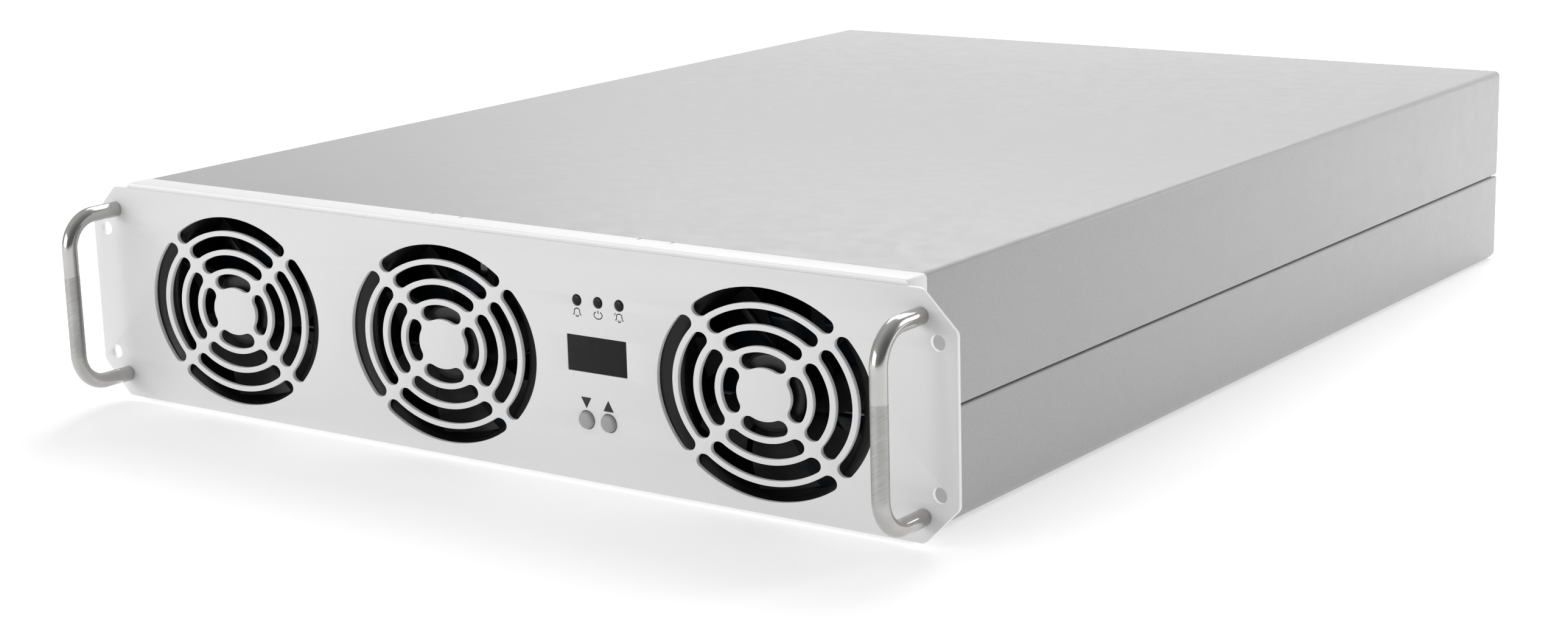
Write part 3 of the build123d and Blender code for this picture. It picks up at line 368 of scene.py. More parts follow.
def eased_block(x, y, z, ease, segments=3):
    """Block between (low, high) pairs with rounded edges."""
    work = bmesh.new()
    bmesh.ops.create_cube(work, size=1.0)
    size = Matrix.Diagonal((x[1] - x[0], y[1] - y[0], z[1] - z[0], 1.0))
    place = Matrix.Translation(((x[0] + x[1]) / 2, (y[0] + y[1]) / 2, (z[0] + z[1]) / 2))
    bmesh.ops.transform(work, matrix=place @ size, verts=work.verts)
    bmesh.ops.bevel(work, geom=work.edges[:], offset=ease, segments=segments, profile=0.5, affect="EDGES")
    mesh = bpy.data.meshes.new("block")
    work.to_mesh(mesh)
    work.free()
    return mesh


def turned(profile, steps=48, closed=False):
    """Mesh turned about the Y axis from (y, radius) points; a radius may be a function of the angle."""
    work = bmesh.new()
    rings = []
    for y, radius in profile:
        if radius == 0:
            rings.append([work.verts.new((0, y, 0))] * steps)
            continue
        ring = []
        for step in range(steps):
            angle = 2 * math.pi * step / steps
            reach = radius(angle) if callable(radius) else radius
            ring.append(work.verts.new((reach * math.cos(angle), y, reach * math.sin(angle))))
        rings.append(ring)
    pairs = list(zip(rings, rings[1:]))
    if closed:
        pairs.append((rings[-1], rings[0]))
    for near, far in pairs:
        for step in range(steps):
            after = (step + 1) % steps
            corners = [near[step], near[after], far[after], far[step]]
            unique = list(dict.fromkeys(corners))
            if len(unique) > 2:
                work.faces.new(unique)
    return finished(work, "turned")


def thread_rings(start, end, root, depth, pitch=THREAD_PITCH):
    """Profile points of a helical thread between two y values."""
    count = int(abs(end - start) / pitch * 8)
    points = []
    for step in range(count + 1):
        y = start + (end - start) * step / count
        fade = min(1.0, 4.0 * step / count, 4.0 * (count - step) / count)

        def reach(angle, y=y, fade=fade):
            phase = (y / pitch - angle / (2 * math.pi)) % 1.0
            return root + depth * fade * (1.0 - abs(2.0 * phase - 1.0))

        points.append((y, reach))
    return points


def joined(meshes):
    """One mesh from several."""
    work = bmesh.new()
    for mesh in meshes:
        work.from_mesh(mesh)
        bpy.data.meshes.remove(mesh)
    whole = bpy.data.meshes.new("joined")
    work.to_mesh(whole)
    work.free()
    return whole


def placed(mesh, x, y, z):
    """The mesh itself, shifted by (x, y, z)."""
    mesh.transform(Matrix.Translation((x, y, z)))
    return mesh


def repeated(mesh, places):
    """The mesh copied to each (x, y, z) place, as one mesh."""
    copies = [placed(mesh.copy(), *place) for place in places]
    bpy.data.meshes.remove(mesh)
    return joined(copies)


def carved(mesh, cutters):
    """The mesh less the cutters."""
    target = bpy.data.objects.new("target", mesh)
    cutter = bpy.data.objects.new("cutter", joined(cutters))
    bpy.context.scene.collection.objects.link(cutter)
    modifier = target.modifiers.new("cut", "BOOLEAN")
    modifier.operation = "DIFFERENCE"
    modifier.solver = "EXACT"
    modifier.object = cutter
    result = evaluated_mesh(target)
    bpy.data.objects.remove(cutter)
    return result


# ---- materials: helpers ----
def base_material(name, metallic=0.0, specular=0.5):
    material = bpy.data.materials.new(name)
    material.use_nodes = True
    shader = material.node_tree.nodes["Principled BSDF"]
    shader.inputs["Metallic"].default_value = metallic
    shader.inputs["Specular IOR Level"].default_value = specular
    return material


def noise(material, size, detail=2.0, stretch=(1.0, 1.0, 1.0), turn=(0.0, 0.0, 0.0)):
    """Noise over the piece's own coordinates, its grain size in millimetres."""
    tree = material.node_tree
    place = tree.nodes.new("ShaderNodeTexCoord")
    mapping = tree.nodes.new("ShaderNodeMapping")
    mapping.vector_type = "TEXTURE"
    mapping.inputs["Scale"].default_value = [1.0 / factor for factor in stretch]
    mapping.inputs["Rotation"].default_value = [math.radians(angle) for angle in turn]
    texture = tree.nodes.new("ShaderNodeTexNoise")
    texture.inputs["Scale"].default_value = 1.0 / (size * MM)
    texture.inputs["Detail"].default_value = detail
    tree.links.new(place.outputs["Object"], mapping.inputs["Vector"])
    tree.links.new(mapping.outputs["Vector"], texture.inputs["Vector"])
    return texture.outputs["Fac"]


def cell_borders(material, size):
    """Distance to the borders of Voronoi cells over the piece's own coordinates."""
    tree = material.node_tree
    place = tree.nodes.new("ShaderNodeTexCoord")
    texture = tree.nodes.new("ShaderNodeTexVoronoi")
    texture.feature = "DISTANCE_TO_EDGE"
    texture.inputs["Scale"].default_value = 1.0 / (size * MM)
    tree.links.new(place.outputs["Object"], texture.inputs["Vector"])
    return texture.outputs["Distance"]


def ranged(material, source, low, high, at=(0.3, 0.7)):
    """Map a 0-1 source onto a range of numbers."""
    node = material.node_tree.nodes.new("ShaderNodeMapRange")
    node.inputs["From Min"].default_value = at[0]
    node.inputs["From Max"].default_value = at[1]
    node.inputs["To Min"].default_value = low
    node.inputs["To Max"].default_value = high
    material.node_tree.links.new(source, node.inputs["Value"])
    return node.outputs["Result"]


def blended(material, source, dark, light, at=(0.3, 0.7)):
    """Map a 0-1 source onto a blend of two colours."""
    node = material.node_tree.nodes.new("ShaderNodeValToRGB")
    node.color_ramp.elements[0].position = at[0]
    node.color_ramp.elements[0].color = (*dark, 1.0)
    node.color_ramp.elements[1].position = at[1]
    node.color_ramp.elements[1].color = (*light, 1.0)
    material.node_tree.links.new(source, node.inputs["Fac"])
    return node.outputs["Color"]


def multiplied(material, first, second):
    node = material.node_tree.nodes.new("ShaderNodeMix")
    node.data_type = "RGBA"
    node.blend_type = "MULTIPLY"
    node.inputs["Factor"].default_value = 1.0
    material.node_tree.links.new(first, node.inputs["A"])
    material.node_tree.links.new(second, node.inputs["B"])
    return node.outputs["Result"]


def feed(material, socket, source):
    shader = material.node_tree.nodes["Principled BSDF"]
    material.node_tree.links.new(source, shader.inputs[socket])


def relief(material, source, depth, below=None):
    """Bump of the given depth in millimetres, laid over another bump if one is given."""
    tree = material.node_tree
    bump = tree.nodes.new("ShaderNodeBump")
    bump.inputs["Distance"].default_value = depth * MM
    tree.links.new(source, bump.inputs["Height"])
    if below:
        tree.links.new(below, bump.inputs["Normal"])
    return bump.outputs["Normal"]


def surfaced(material, tone, gloss, bump):
    """Wire up the colour, the roughness and the bump of a material."""
    feed(material, "Base Color", tone)
    feed(material, "Roughness", gloss)
    feed(material, "Normal", bump)
    return material


def computed(material, operation, *sources):
    """Math node over one to three sources, each a socket or a number."""
    node = material.node_tree.nodes.new("ShaderNodeMath")
    node.operation = operation
    for socket, source in zip(node.inputs, sources):
        if isinstance(source, float):
            socket.default_value = source
        else:
            material.node_tree.links.new(source, socket)
    return node.outputs["Value"]


def component(material, kind, axis):
    """One axis of the piece's own coordinates ("Object") or of its surface direction ("Normal")."""
    tree = material.node_tree
    place = tree.nodes.new("ShaderNodeTexCoord")
    split = tree.nodes.new("ShaderNodeSeparateXYZ")
    tree.links.new(place.outputs[kind], split.inputs["Vector"])
    return split.outputs[axis]


def gray(value):
    return (value, value, value)


def scaled_colour(colour, factor):
    return tuple(channel * factor for channel in colour)


# ---- materials ----
def powder_coat(name, value, spread, grain, depth, rough, edge=None):
    """Sprayed powder coat: fine pebbled grain, faint clouding and slightly uneven gloss.

    With an edge value, a painted highlight lightens the coat where it turns round the sheet's edges.
    """
    material = base_material(name, specular=0.45)
    fine = noise(material, grain, 3.0)
    speck = blended(material, fine, gray(1.0 - spread), gray(1.0 + spread), (0.32, 0.68))
    cloud = noise(material, 70.0, 2.0)
    tone = blended(material, cloud, gray(value * 0.994), gray(value * 1.006))
    coat = multiplied(material, tone, speck)
    if edge:
        # Painted highlight: the edge value lightens the coat on the sheet's edges, by the direction they face.
        coat = painted_edge_highlight(material, coat, gray(edge))
    gloss = ranged(material, noise(material, 9.0, 4.0), *rough)
    orange_peel = relief(material, noise(material, 2.6, 1.0), depth * 1.4)
    return surfaced(material, coat, gloss, relief(material, fine, depth, orange_peel))


def painted_edge_highlight(material, flat_colour, highlight_colour):
    """Painted highlight: blend to a lighter colour on surfaces that turn away from the sheet's two faces."""
    facing = computed(material, "ABSOLUTE", component(material, "Normal", "Y"))
    tree = material.node_tree
    node = tree.nodes.new("ShaderNodeMix")
    node.data_type = "RGBA"
    node.inputs["A"].default_value = (*highlight_colour, 1.0)
    tree.links.new(ranged(material, facing, 0.0, 1.0, (0.5, 0.95)), node.inputs["Factor"])
    tree.links.new(flat_colour, node.inputs["B"])
    return node.outputs["Result"]


def handle_steel():
    """Polished round bar with a brushed, slanting lay on the lower part of the grip."""
    material = base_material("handle_steel", metallic=1.0)
    height = component(material, "Object", "Z")
    edge = computed(material, "MULTIPLY_ADD", noise(material, 7.0, 1.0), 0.004, height)
    top_edge = (PLATE_MIDDLE_Z + 14.0) * MM
    low_edge = (PLATE_MIDDLE_Z - 22.0) * MM
    under_top = ranged(material, edge, 1.0, 0.0, (top_edge, top_edge + 0.0008))
    over_low = ranged(material, edge, 0.0, 1.0, (low_edge - 0.008, low_edge))
    brushed = computed(material, "MULTIPLY", under_top, over_low)
    lines = noise(material, 6.0, 6.0, (1.0, 1.0, 34.0), (0.0, -34.0, 0.0))
    masked = computed(material, "MULTIPLY", lines, brushed)
    scratches = noise(material, 3.0, 5.0, (1.0, 1.0, 9.0), (20.0, 0.0, 8.0))
    tone = blended(material, noise(material, 12.0, 3.0), (0.45, 0.445, 0.43), (0.52, 0.515, 0.505))
    shade = blended(material, masked, gray(1.0), gray(0.66), (0.2, 0.7))
    gloss = computed(material, "MULTIPLY_ADD", brushed, 0.17, ranged(material, scratches, 0.13, 0.22))
    bump = relief(material, masked, 0.02, relief(material, scratches, 0.003))
    return surfaced(material, multiplied(material, tone, shade), gloss, bump)


def plain_metal(name, colour, rough, lay=(1.0, 1.0, 1.0), grain=2.0, depth=0.006):
    """Machined, plated or rolled metal with a directional lay."""
    material = base_material(name, metallic=1.0)
    tone = blended(material, noise(material, 15.0, 3.0), scaled_colour(colour, 0.9), colour)
    lines = noise(material, grain, 4.0, lay)
    return surfaced(material, tone, ranged(material, lines, *rough), relief(material, lines, depth))


def moulded_plastic(name, colour, rough, grain=0.8, depth=0.008, specular=0.5):
    """Injection-moulded plastic: fine spark-eroded texture and slight gloss changes."""
    material = base_material(name, specular=specular)
    tones = (scaled_colour(colour, 0.88), scaled_colour(colour, 1.06))
    tone = blended(material, noise(material, 18.0, 3.0), *tones)
    gloss = ranged(material, noise(material, 5.0, 4.0), *rough)
    return surfaced(material, tone, gloss, relief(material, noise(material, grain, 3.0), depth))


def screen_window():
    """Smoked window with a film of fine dust and wiping marks in its gloss."""
    material = base_material("screen_dark", specular=0.12)
    tone = blended(material, noise(material, 6.0, 2.0), gray(0.011), gray(0.014))
    wipes = noise(material, 4.0, 4.0, (1.0, 1.0, 3.0), (0.0, 25.0, 0.0))
    return surfaced(material, tone, ranged(material, wipes, 0.34, 0.44), relief(material, wipes, 0.001))


def lens_black():
    """Polished dark lens with a faintly uneven tone."""
    material = base_material("lens_black", specular=0.14)
    tone = blended(material, noise(material, 1.2, 2.0), gray(0.008), gray(0.016))
    gloss = ranged(material, noise(material, 0.6, 2.0), 0.16, 0.26)
    return surfaced(material, tone, gloss, relief(material, noise(material, 1.0, 1.0), 0.002))


def circuit_board():
    """Solder mask over copper: darker lanes, lighter pads and a fine laminate weave."""
    material = base_material("board_green", specular=0.5)
    lanes = cell_borders(material, 4.0)
    pad_green, lane_green = (0.05, 0.24, 0.09), (0.02, 0.11, 0.045)
    tone = blended(material, lanes, pad_green, lane_green, (0.03, 0.09))
    gloss = ranged(material, noise(material, 6.0, 3.0), 0.3, 0.42)
    weave = relief(material, noise(material, 0.5, 1.0), 0.01)
    return surfaced(material, tone, gloss, relief(material, lanes, 0.03, weave))


def cell_film():
    """Shrunk insulating film with long creases."""
    material = base_material("cell_blue", specular=0.4)
    creases = noise(material, 14.0, 4.0, (0.25, 1.0, 1.0))
    tone = blended(material, creases, (0.004, 0.009, 0.018), (0.006, 0.014, 0.03))
    return surfaced(material, tone, ranged(material, creases, 0.35, 0.5), relief(material, creases, 0.12))


def winding_copper():
    """Enamelled copper in close turns."""
    material = base_material("copper", metallic=1.0)
    turns = noise(material, 3.0, 2.0, (1.0, 12.0, 1.0))
    tone = blended(material, turns, (0.46, 0.21, 0.11), (0.78, 0.43, 0.27))
    return surfaced(material, tone, ranged(material, turns, 0.26, 0.42), relief(material, turns, 0.05))


def fibre_sheet():
    """Pressed fibre insulation with visible flecks."""
    material = base_material("sheet_insulation", specular=0.3)
    flecks = noise(material, 1.5, 5.0, (1.0, 0.3, 1.0))
    tone = blended(material, flecks, (0.62, 0.60, 0.52), (0.78, 0.77, 0.71))
    return surfaced(material, tone, ranged(material, flecks, 0.7, 0.85), relief(material, flecks, 0.05))


def printing_ink():
    """Screen-printed ink: matt, almost black, with slightly uneven cover."""
    material = base_material("printing_ink", specular=0.3)
    cover = noise(material, 0.5, 3.0)
    tone = blended(material, cover, gray(0.012), gray(0.028))
    return surfaced(material, tone, ranged(material, cover, 0.45, 0.6), relief(material, cover, 0.004))


MATERIALS = {
    # face_white's edge value of 0.93 is a painted highlight on the face plate's edges.
    "face_white": powder_coat("face_white", 0.69, 0.02, 0.5, 0.012, (0.42, 0.5), edge=0.93),
    "bezel_white": powder_coat("bezel_white", 0.90, 0.015, 0.5, 0.012, (0.42, 0.5)),
    "case_gray": powder_coat("case_gray", 0.47, 0.05, 0.75, 0.03, (0.4, 0.5)),
    "handle_steel": handle_steel(),
    "fastener_steel": plain_metal("fastener_steel", (0.62, 0.62, 0.60), (0.28, 0.4), (1.0, 4.0, 1.0)),
    "fan_black": moulded_plastic("fan_black", gray(0.008), (0.3, 0.4), 1.2, 0.01, 0.28),
    "copper": winding_copper(),
    "brass_bare": plain_metal("brass_bare", (0.80, 0.64, 0.34), (0.2, 0.32), (1.0, 9.0, 1.0)),
    "screen_dark": screen_window(),
    "lens_black": lens_black(),
    "button_gray": moulded_plastic("button_gray", gray(0.31), (0.4, 0.5), 0.5, 0.006),
    "board_green": circuit_board(),
    "module_black": moulded_plastic("module_black", gray(0.02), (0.4, 0.52)),
    "cell_blue": cell_film(),
    "aluminium_bare": plain_metal("aluminium_bare", (0.76, 0.76, 0.77), (0.3, 0.44), (6.0, 0.4, 6.0)),
    "sheet_insulation": fibre_sheet(),
    "plastic_red": moulded_plastic("plastic_red", (0.42, 0.025, 0.018), (0.34, 0.46)),
    "plastic_black": moulded_plastic("plastic_black", gray(0.018), (0.36, 0.5)),
    "toggle_white": moulded_plastic("toggle_white", (0.68, 0.68, 0.66), (0.32, 0.42)),
}
INK = printing_ink()


# ---- pieces ----
def piece(name, mesh, slot, body, stands_for=(), material=None, sharp=32.0):
    """Make a finished mesh a piece of the visual model."""
    mesh.name = name
    mesh.transform(Matrix.Scale(MM, 4))
    mesh.materials.clear()
    mesh.materials.append(material or MATERIALS[slot])
    mesh.shade_smooth()
    mesh.set_sharp_from_angle(angle=math.radians(sharp))
    shown = bpy.data.objects.new(name, mesh)
    bpy.context.scene.collection.objects.link(shown)
    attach(shown, body)
    if stands_for:
        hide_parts(*stands_for)
    return shown


def dress_cad_nodes():
    """Give every carried-over CAD node the worked material of its slot."""
    for entry in frame["record"]["subparts"]:
        node = frame["nodes"][entry["node"]]
        for material_slot in node.material_slots:
            material_slot.material = MATERIALS[entry["material_slot"]]


# ---- face plate ----
def plate_outlines():
    width = PLATE_HIGH.x - PLATE_LOW.x
    height = PLATE_HIGH.z - PLATE_LOW.z
    half_x, half_z = width / 2, height / 2
    ring = []
    corners = ((1, -1, True), (1, 1, False), (-1, 1, True), (-1, -1, False))
    for x_sign, z_sign, first in corners:
        near_side = (x_sign * half_x, z_sign * (half_z - PLATE_CHAMFER))
        near_edge = (x_sign * (half_x - PLATE_CHAMFER), z_sign * half_z)
        ring += [near_edge, near_side] if first else [near_side, near_edge]
    outline = rounded([(x, z + PLATE_MIDDLE_Z, PLATE_CORNER_ROUND) for x, z in ring])
    holes = []
    pattern = MOUNTS["rack_ears"]["dims"]
    for side in (-1, 1):
        for level in (-1, 1):
            hole_x = side * pattern["spacing_x_mm"] / 2
            hole_z = PLATE_MIDDLE_Z + level * pattern["spacing_y_mm"] / 2
            holes.append(circle(hole_x, hole_z, pattern["hole_r_mm"]))
    for side in FAN_SIDES:
        x, z = fan_centre(side)
        for inner_radius in RING_INNER_RADII:
            for spoke in SPOKE_ANGLES:
                holes.append(ring_slot(x, z, inner_radius, spoke + 45.0))
    screen = middle_mm("screen_window")
    holes.append(rectangle(screen.x, screen.z, *SCREEN_SIZE, 0.25, 3))
    for x, z in lens_centres():
        holes.append(circle(x, z, LENS_HOLE_RADIUS))
    for node in ("button_down", "button_up"):
        centre = middle_mm(node)
        holes.append(circle(centre.x, centre.z, BUTTON_HOLE_RADIUS))
    return [outline] + holes


def add_face_plate():
    mesh = cut_sheet(plate_outlines(), (FACE, PLATE_BACK), PLATE_EASE)
    piece("face_plate", mesh, "face_white", "chassis", ["ear_plate"])


# ---- bezel frame ----
def add_bezel():
    centre_z = (BEZEL_LOW.z + BEZEL_HIGH.z) / 2
    width = BEZEL_HIGH.x - BEZEL_LOW.x
    height = BEZEL_HIGH.z - BEZEL_LOW.z

    def ring(inset, corner):
        return rectangle(0.0, centre_z, width - 2 * inset, height - 2 * inset, corner)

    shell = cut_sheet([ring(0, BEZEL_CORNER), ring(BEZEL_SHEET, 0.5)], (PLATE_BACK, BEZEL_BACK), 0.3)
    slits = []
    for centre in TAB_CENTRES:
        for side in (-1, 1):
            x = centre + side * TAB_WIDTH / 2
            slit_x = (x - TAB_SLIT / 2, x + TAB_SLIT / 2)
            slit_y = (BEZEL_BACK - TAB_SLIT_LENGTH, BEZEL_BACK + 2.0)
            slit_z = (BEZEL_HIGH.z - 2.0 * BEZEL_SHEET, BEZEL_HIGH.z + 1.0)
            slits.append(eased_block(slit_x, slit_y, slit_z, 0.12, 1))
    shell = carved(shell, slits)
    flange_rings = [ring(BEZEL_SHEET - 0.05, 0.5), ring(BEZEL_FLANGE, 1.0)]
    flange = cut_sheet(flange_rings, (PLATE_BACK, PLATE_BACK + BEZEL_SHEET), 0.2)
    tongue_x = (-TONGUE_HALF_WIDTH, TONGUE_HALF_WIDTH)
    tongue_y = (BEZEL_BACK - TONGUE_START, BEZEL_HIGH.y)
    tongues = []
    for z in (BEZEL_HIGH.z - 2 * BEZEL_SHEET, BEZEL_SHEET):
        tongues.append(eased_block(tongue_x, tongue_y, (z, z + BEZEL_SHEET), 0.3))
    piece("bezel", joined([shell, flange, *tongues]), "bezel_white", "chassis", ["bezel_frame"])


# ---- case ----
def cover_outline():
    """Right half of the sheet's inner and outer lines from the ledge up to the top, then mirrored."""
    inner = rounded_run([
        (LEDGE_INNER, COVER_LOW.z, 0.3), (LEDGE_INNER, SEAM_UPPER + SHEET, 0.3),
        (CASE_INNER, SEAM_UPPER + SHEET, 0.3), (CASE_INNER, CASE_TOP - SHEET, TOP_BEND - SHEET),
        (0.0, CASE_TOP - SHEET, 0.0),
    ])
    outer = rounded_run([
        (LEDGE_INNER + SHEET, COVER_LOW.z, 0.3), (LEDGE_INNER + SHEET, SEAM_UPPER, 0.3),
        (CASE_HALF, SEAM_UPPER, SEAM_EASE), (CASE_HALF, CASE_TOP, TOP_BEND), (0.0, CASE_TOP, 0.0),
    ])
    return outer + mirrored(outer) + list(reversed(mirrored(inner))) + list(reversed(inner))


def rounded_run(corners):
    """Run through (x, z, radius) corners from the first, which stays sharp, up to the centre plane."""
    first, last = corners[0], corners[-1]
    run = rounded([first[:2] + (0.0,), *corners[1:-1], last[:2] + (0.0,)])
    return [point for point in run if point[0] > 0.0]


def mirrored(points):
    """The points on the other side of the centre plane, in the opposite order."""
    return [(-x, z) for x, z in reversed(points)]


def tray_outline():
    """Right half from the floor's bend round the hem and back down inside, then mirrored."""
    hem_middle = CASE_HALF - HEM_THICKNESS / 2
    hem_z = TRAY_HIGH.z - HEM_THICKNESS / 2
    bend = BOTTOM_BEND
    right = arc(CASE_HALF - bend, bend, bend, -90, 0, 10)
    right += arc(hem_middle, hem_z, HEM_THICKNESS / 2, 0, 180, 10)
    hem_inner = CASE_HALF - HEM_THICKNESS
    right += [(hem_inner, hem_z - HEM_FOLD), (CASE_INNER, hem_z - HEM_FOLD)]
    right += arc(CASE_HALF - bend, bend, bend - SHEET, 0, -90, 10)
    return right + mirrored(right)


def add_case():
    depth = (BEZEL_BACK, CASE_BACK)
    lip_x = (LIP_INSET - CASE_INNER, CASE_INNER - LIP_INSET)
    lip_y = (PANEL_LOW.y - SHEET, PANEL_LOW.y - 0.02)
    upper_z = (CASE_TOP - SHEET - REAR_LIP, CASE_TOP - SHEET / 2)
    lower_z = (SHEET / 2, SHEET + REAR_LIP)
    cover = [cut_sheet([cover_outline()], depth, 0.22), eased_block(lip_x, lip_y, upper_z, 0.3)]
    piece("cover", joined(cover), "case_gray", "chassis", ["top_cover"])
    tray = [cut_sheet([tray_outline()], depth, 0.22), eased_block(lip_x, lip_y, lower_z, 0.3)]
    piece("tray", joined(tray), "case_gray", "chassis", ["lower_tray"])


# ---- handles ----
def handle_mesh(x, reach_y):
    """Round bar swept up one leg, round two bends and down the other leg."""
    low = PLATE_MIDDLE_Z - HANDLE_HALF_SPAN
    high = PLATE_MIDDLE_Z + HANDLE_HALF_SPAN
    front = reach_y + HANDLE_ROD_RADIUS
    path = [(FACE - step, low) for step in (0.0, 4.0, 8.0)]
    path += arc(front + HANDLE_BEND, low + HANDLE_BEND, HANDLE_BEND, -90, -180, 20)
    path += [(front, low + HANDLE_BEND + step * (high - low - 2 * HANDLE_BEND) / 8) for step in range(1, 8)]
    path += arc(front + HANDLE_BEND, high - HANDLE_BEND, HANDLE_BEND, 180, 90, 20)
    path += [(FACE - step, high) for step in (8.0, 4.0, 0.0)]
    steps = 40
    rings = []
    for index, (y, z) in enumerate(path):
        before = path[max(index - 1, 0)]
        after = path[min(index + 1, len(path) - 1)]
        along = Vector((0.0, after[0] - before[0], after[1] - before[1])).normalized()
        across = Vector((1.0, 0.0, 0.0))
        outward = along.cross(across)
        ring = []
        for step in range(steps):
            angle = 2 * math.pi * step / steps
            offset = across * math.cos(angle) + outward * math.sin(angle)
            ring.append(Vector((x, y, z)) + offset * HANDLE_ROD_RADIUS)
        rings.append(ring)
    return capped_tube(rings, "handle")


def add_handles():
    for side in ("left", "right"):
        node = f"handle_{side}"
        low, high = box_mm(node)
        mesh = handle_mesh((low.x + high.x) / 2, low.y)
        piece(f"grip_{side}", mesh, "handle_steel", "chassis", [node], sharp=50.0)


# ---- fans ----
def blade_mesh():
    """Twisted, cambered blade of a rotor, wrapped round the hub's axis."""
    stations, points = 14, 12
    root, tip = HUB_RADIUS - 1.0, BLADE_TIP_RADIUS
    rings = []
    for station in range(stations):
        share = station / (stations - 1)
        radius = root + (tip - root) * share
        chord = 15.5 + 9.0 * share
        pitch = math.radians(50.0 - 18.0 * share)
        lean = math.radians(16.0) * share * share
        ring = []
        for step in range(2 * points):
            upper = step < points
            along = step / points if upper else 2.0 - step / points
            thick = 1.5 * (1.0 - 0.35 * share) * math.sqrt(max(along * (1.02 - along), 0.0004)) * 1.1
            camber = 1.7 * math.sin(math.pi * along)
            rise = camber + (thick if upper else -thick) / 2
            slide = (along - 0.5) * chord
            turn = (slide * math.cos(pitch) - rise * math.sin(pitch)) / radius + lean
            y = slide * math.sin(pitch) + rise * math.cos(pitch)
            ring.append((radius * math.cos(turn), y, radius * math.sin(turn)))
        rings.append(ring)
    return capped_tube(rings, "blade")


def rotor_mesh(front, back):
    """Hub cup, seven blades and the shaft, with the axis through the origin."""
    middle = (front + back) / 2
    inner = HUB_RADIUS - HUB_WALL
    hub = turned([
        (front + 0.5, 0), (front + 0.5, 6.0), (front + 0.2, 6.6), (front, 7.4), (front, HUB_RADIUS - 2.2),
        (front + 0.35, HUB_RADIUS - 1.0), (front + 1.1, HUB_RADIUS - 0.25), (front + 2.2, HUB_RADIUS),
        (back - 0.4, HUB_RADIUS), (back, HUB_RADIUS - 0.4), (back, inner),
        (front + 2.4, inner), (front + 1.8, inner - 0.8), (front + 1.8, 0),
    ])
    nose, tail = front + 1.2, back + SHAFT_END
    shaft = turned([(nose, 0), (nose, SHAFT_RADIUS), (tail, SHAFT_RADIUS), (tail, 0)], 24)
    parts = [hub, shaft]
    blade = blade_mesh()
    for step in range(BLADE_COUNT):
        turn = Matrix.Rotation(2 * math.pi * step / BLADE_COUNT, 4, "Y")
        copy = blade.copy()
        copy.transform(Matrix.Translation((0, middle, 0)) @ turn)
        parts.append(copy)
    bpy.data.meshes.remove(blade)
    return joined(parts)


def housing_mesh(x, z, low, high):
    """Fan housing: a wide front flange with an oval mouth, a round duct, four struts and the motor seat."""
    front, back = low.y, high.y
    pitch = FAN_HOLE_PITCH / 2
    holes = [circle(x + a * pitch, z + b * pitch, 2.15, 20) for a in (-1, 1) for b in (-1, 1)]
    wide = rectangle(x, z, high.x - low.x, high.z - low.z, FAN_CORNER)
    square = rectangle(x, z, FAN_SIZE, FAN_SIZE, FAN_CORNER)
    mouth = (INLET_WIDTH / 2, FAN_DUCT_RADIUS + 0.6)
    oval = [(x + along * mouth[0], z + up * mouth[1]) for along, up in circle(0.0, 0.0, 1.0, 96)]
    opening = circle(x, z, FAN_DUCT_RADIUS + 0.7, 96)
    parts = [
        cut_sheet([wide, oval, *holes], (front, front + INLET_DEPTH), 0.25),
        cut_sheet([square, opening, *holes], (back - FAN_FLANGE, back), 0.35),
    ]
    throat = front + INLET_DEPTH
    outer = FAN_DUCT_RADIUS + 1.6
    duct = turned([
        (throat - 0.4, FAN_DUCT_RADIUS), (back - 4.0, FAN_DUCT_RADIUS),
        (back - 1.6, FAN_DUCT_RADIUS + 0.45), (back - 0.4, FAN_DUCT_RADIUS + 1.2),
        (back - 0.4, outer), (throat - 0.4, outer),
    ], 96, closed=True)
    seat_front = back - MOTOR_SEAT
    seat = turned([
        (seat_front, 0), (seat_front, HUB_RADIUS + 0.2), (back - 2.2, HUB_RADIUS + 1.0),
        (back - 0.8, HUB_RADIUS + 1.0), (back, HUB_RADIUS + 0.2), (back, 5.0),
        (back - 0.6, 4.4), (back - 0.6, 0),
    ], 64)
    boss_y = (front + BOSS_START, back - 2.9)
    boss_bore = SHAFT_RADIUS + 0.2
    boss = turned([
        (boss_y[0], boss_bore), (boss_y[0], BOSS_RADIUS - 0.4), (boss_y[0] + 0.4, BOSS_RADIUS),
        (boss_y[1], BOSS_RADIUS), (boss_y[1], boss_bore),
    ], 40, closed=True)
    bell = turned(inlet_profile(front + 0.2, throat, mouth), 96, closed=True)
    parts += [placed(mesh, x, 0, z) for mesh in (duct, seat, boss, bell)]
    for angle in SPOKE_ANGLES:
        strut_x, strut_y = (HUB_RADIUS, FAN_DUCT_RADIUS + 0.8), (seat_front, back - 0.1)
        strut = eased_block(strut_x, strut_y, (-2.0, 2.0), 0.9)
        strut.transform(Matrix.Rotation(math.radians(angle), 4, "Y"))
        parts.append(placed(strut, x, 0, z))
    return joined(parts)


def inlet_profile(front, throat, mouth):
    """Profile of the inlet bell: oval at the mouth, swept in to the round duct, and back outside."""
    steps = 8
    points = []
    for step in range(steps + 1):
        share = step / steps
        sweep = math.sin(math.pi / 2 * share)
        points.append((front + (throat - front) * share, oval_reach(mouth, sweep, -0.15)))
    for share in (1.0, 0.0):
        points.append((front + (throat - front) * share, oval_reach(mouth, share, 0.6)))
    return points


def oval_reach(mouth, sweep, outset):
    """Radius as a function of the angle, between the mouth's oval and the duct's circle."""
    def reach(angle):
        oval = 1.0 / math.hypot(math.cos(angle) / mouth[0], math.sin(angle) / mouth[1])
        return oval + (FAN_DUCT_RADIUS - oval) * sweep + outset
    return reach


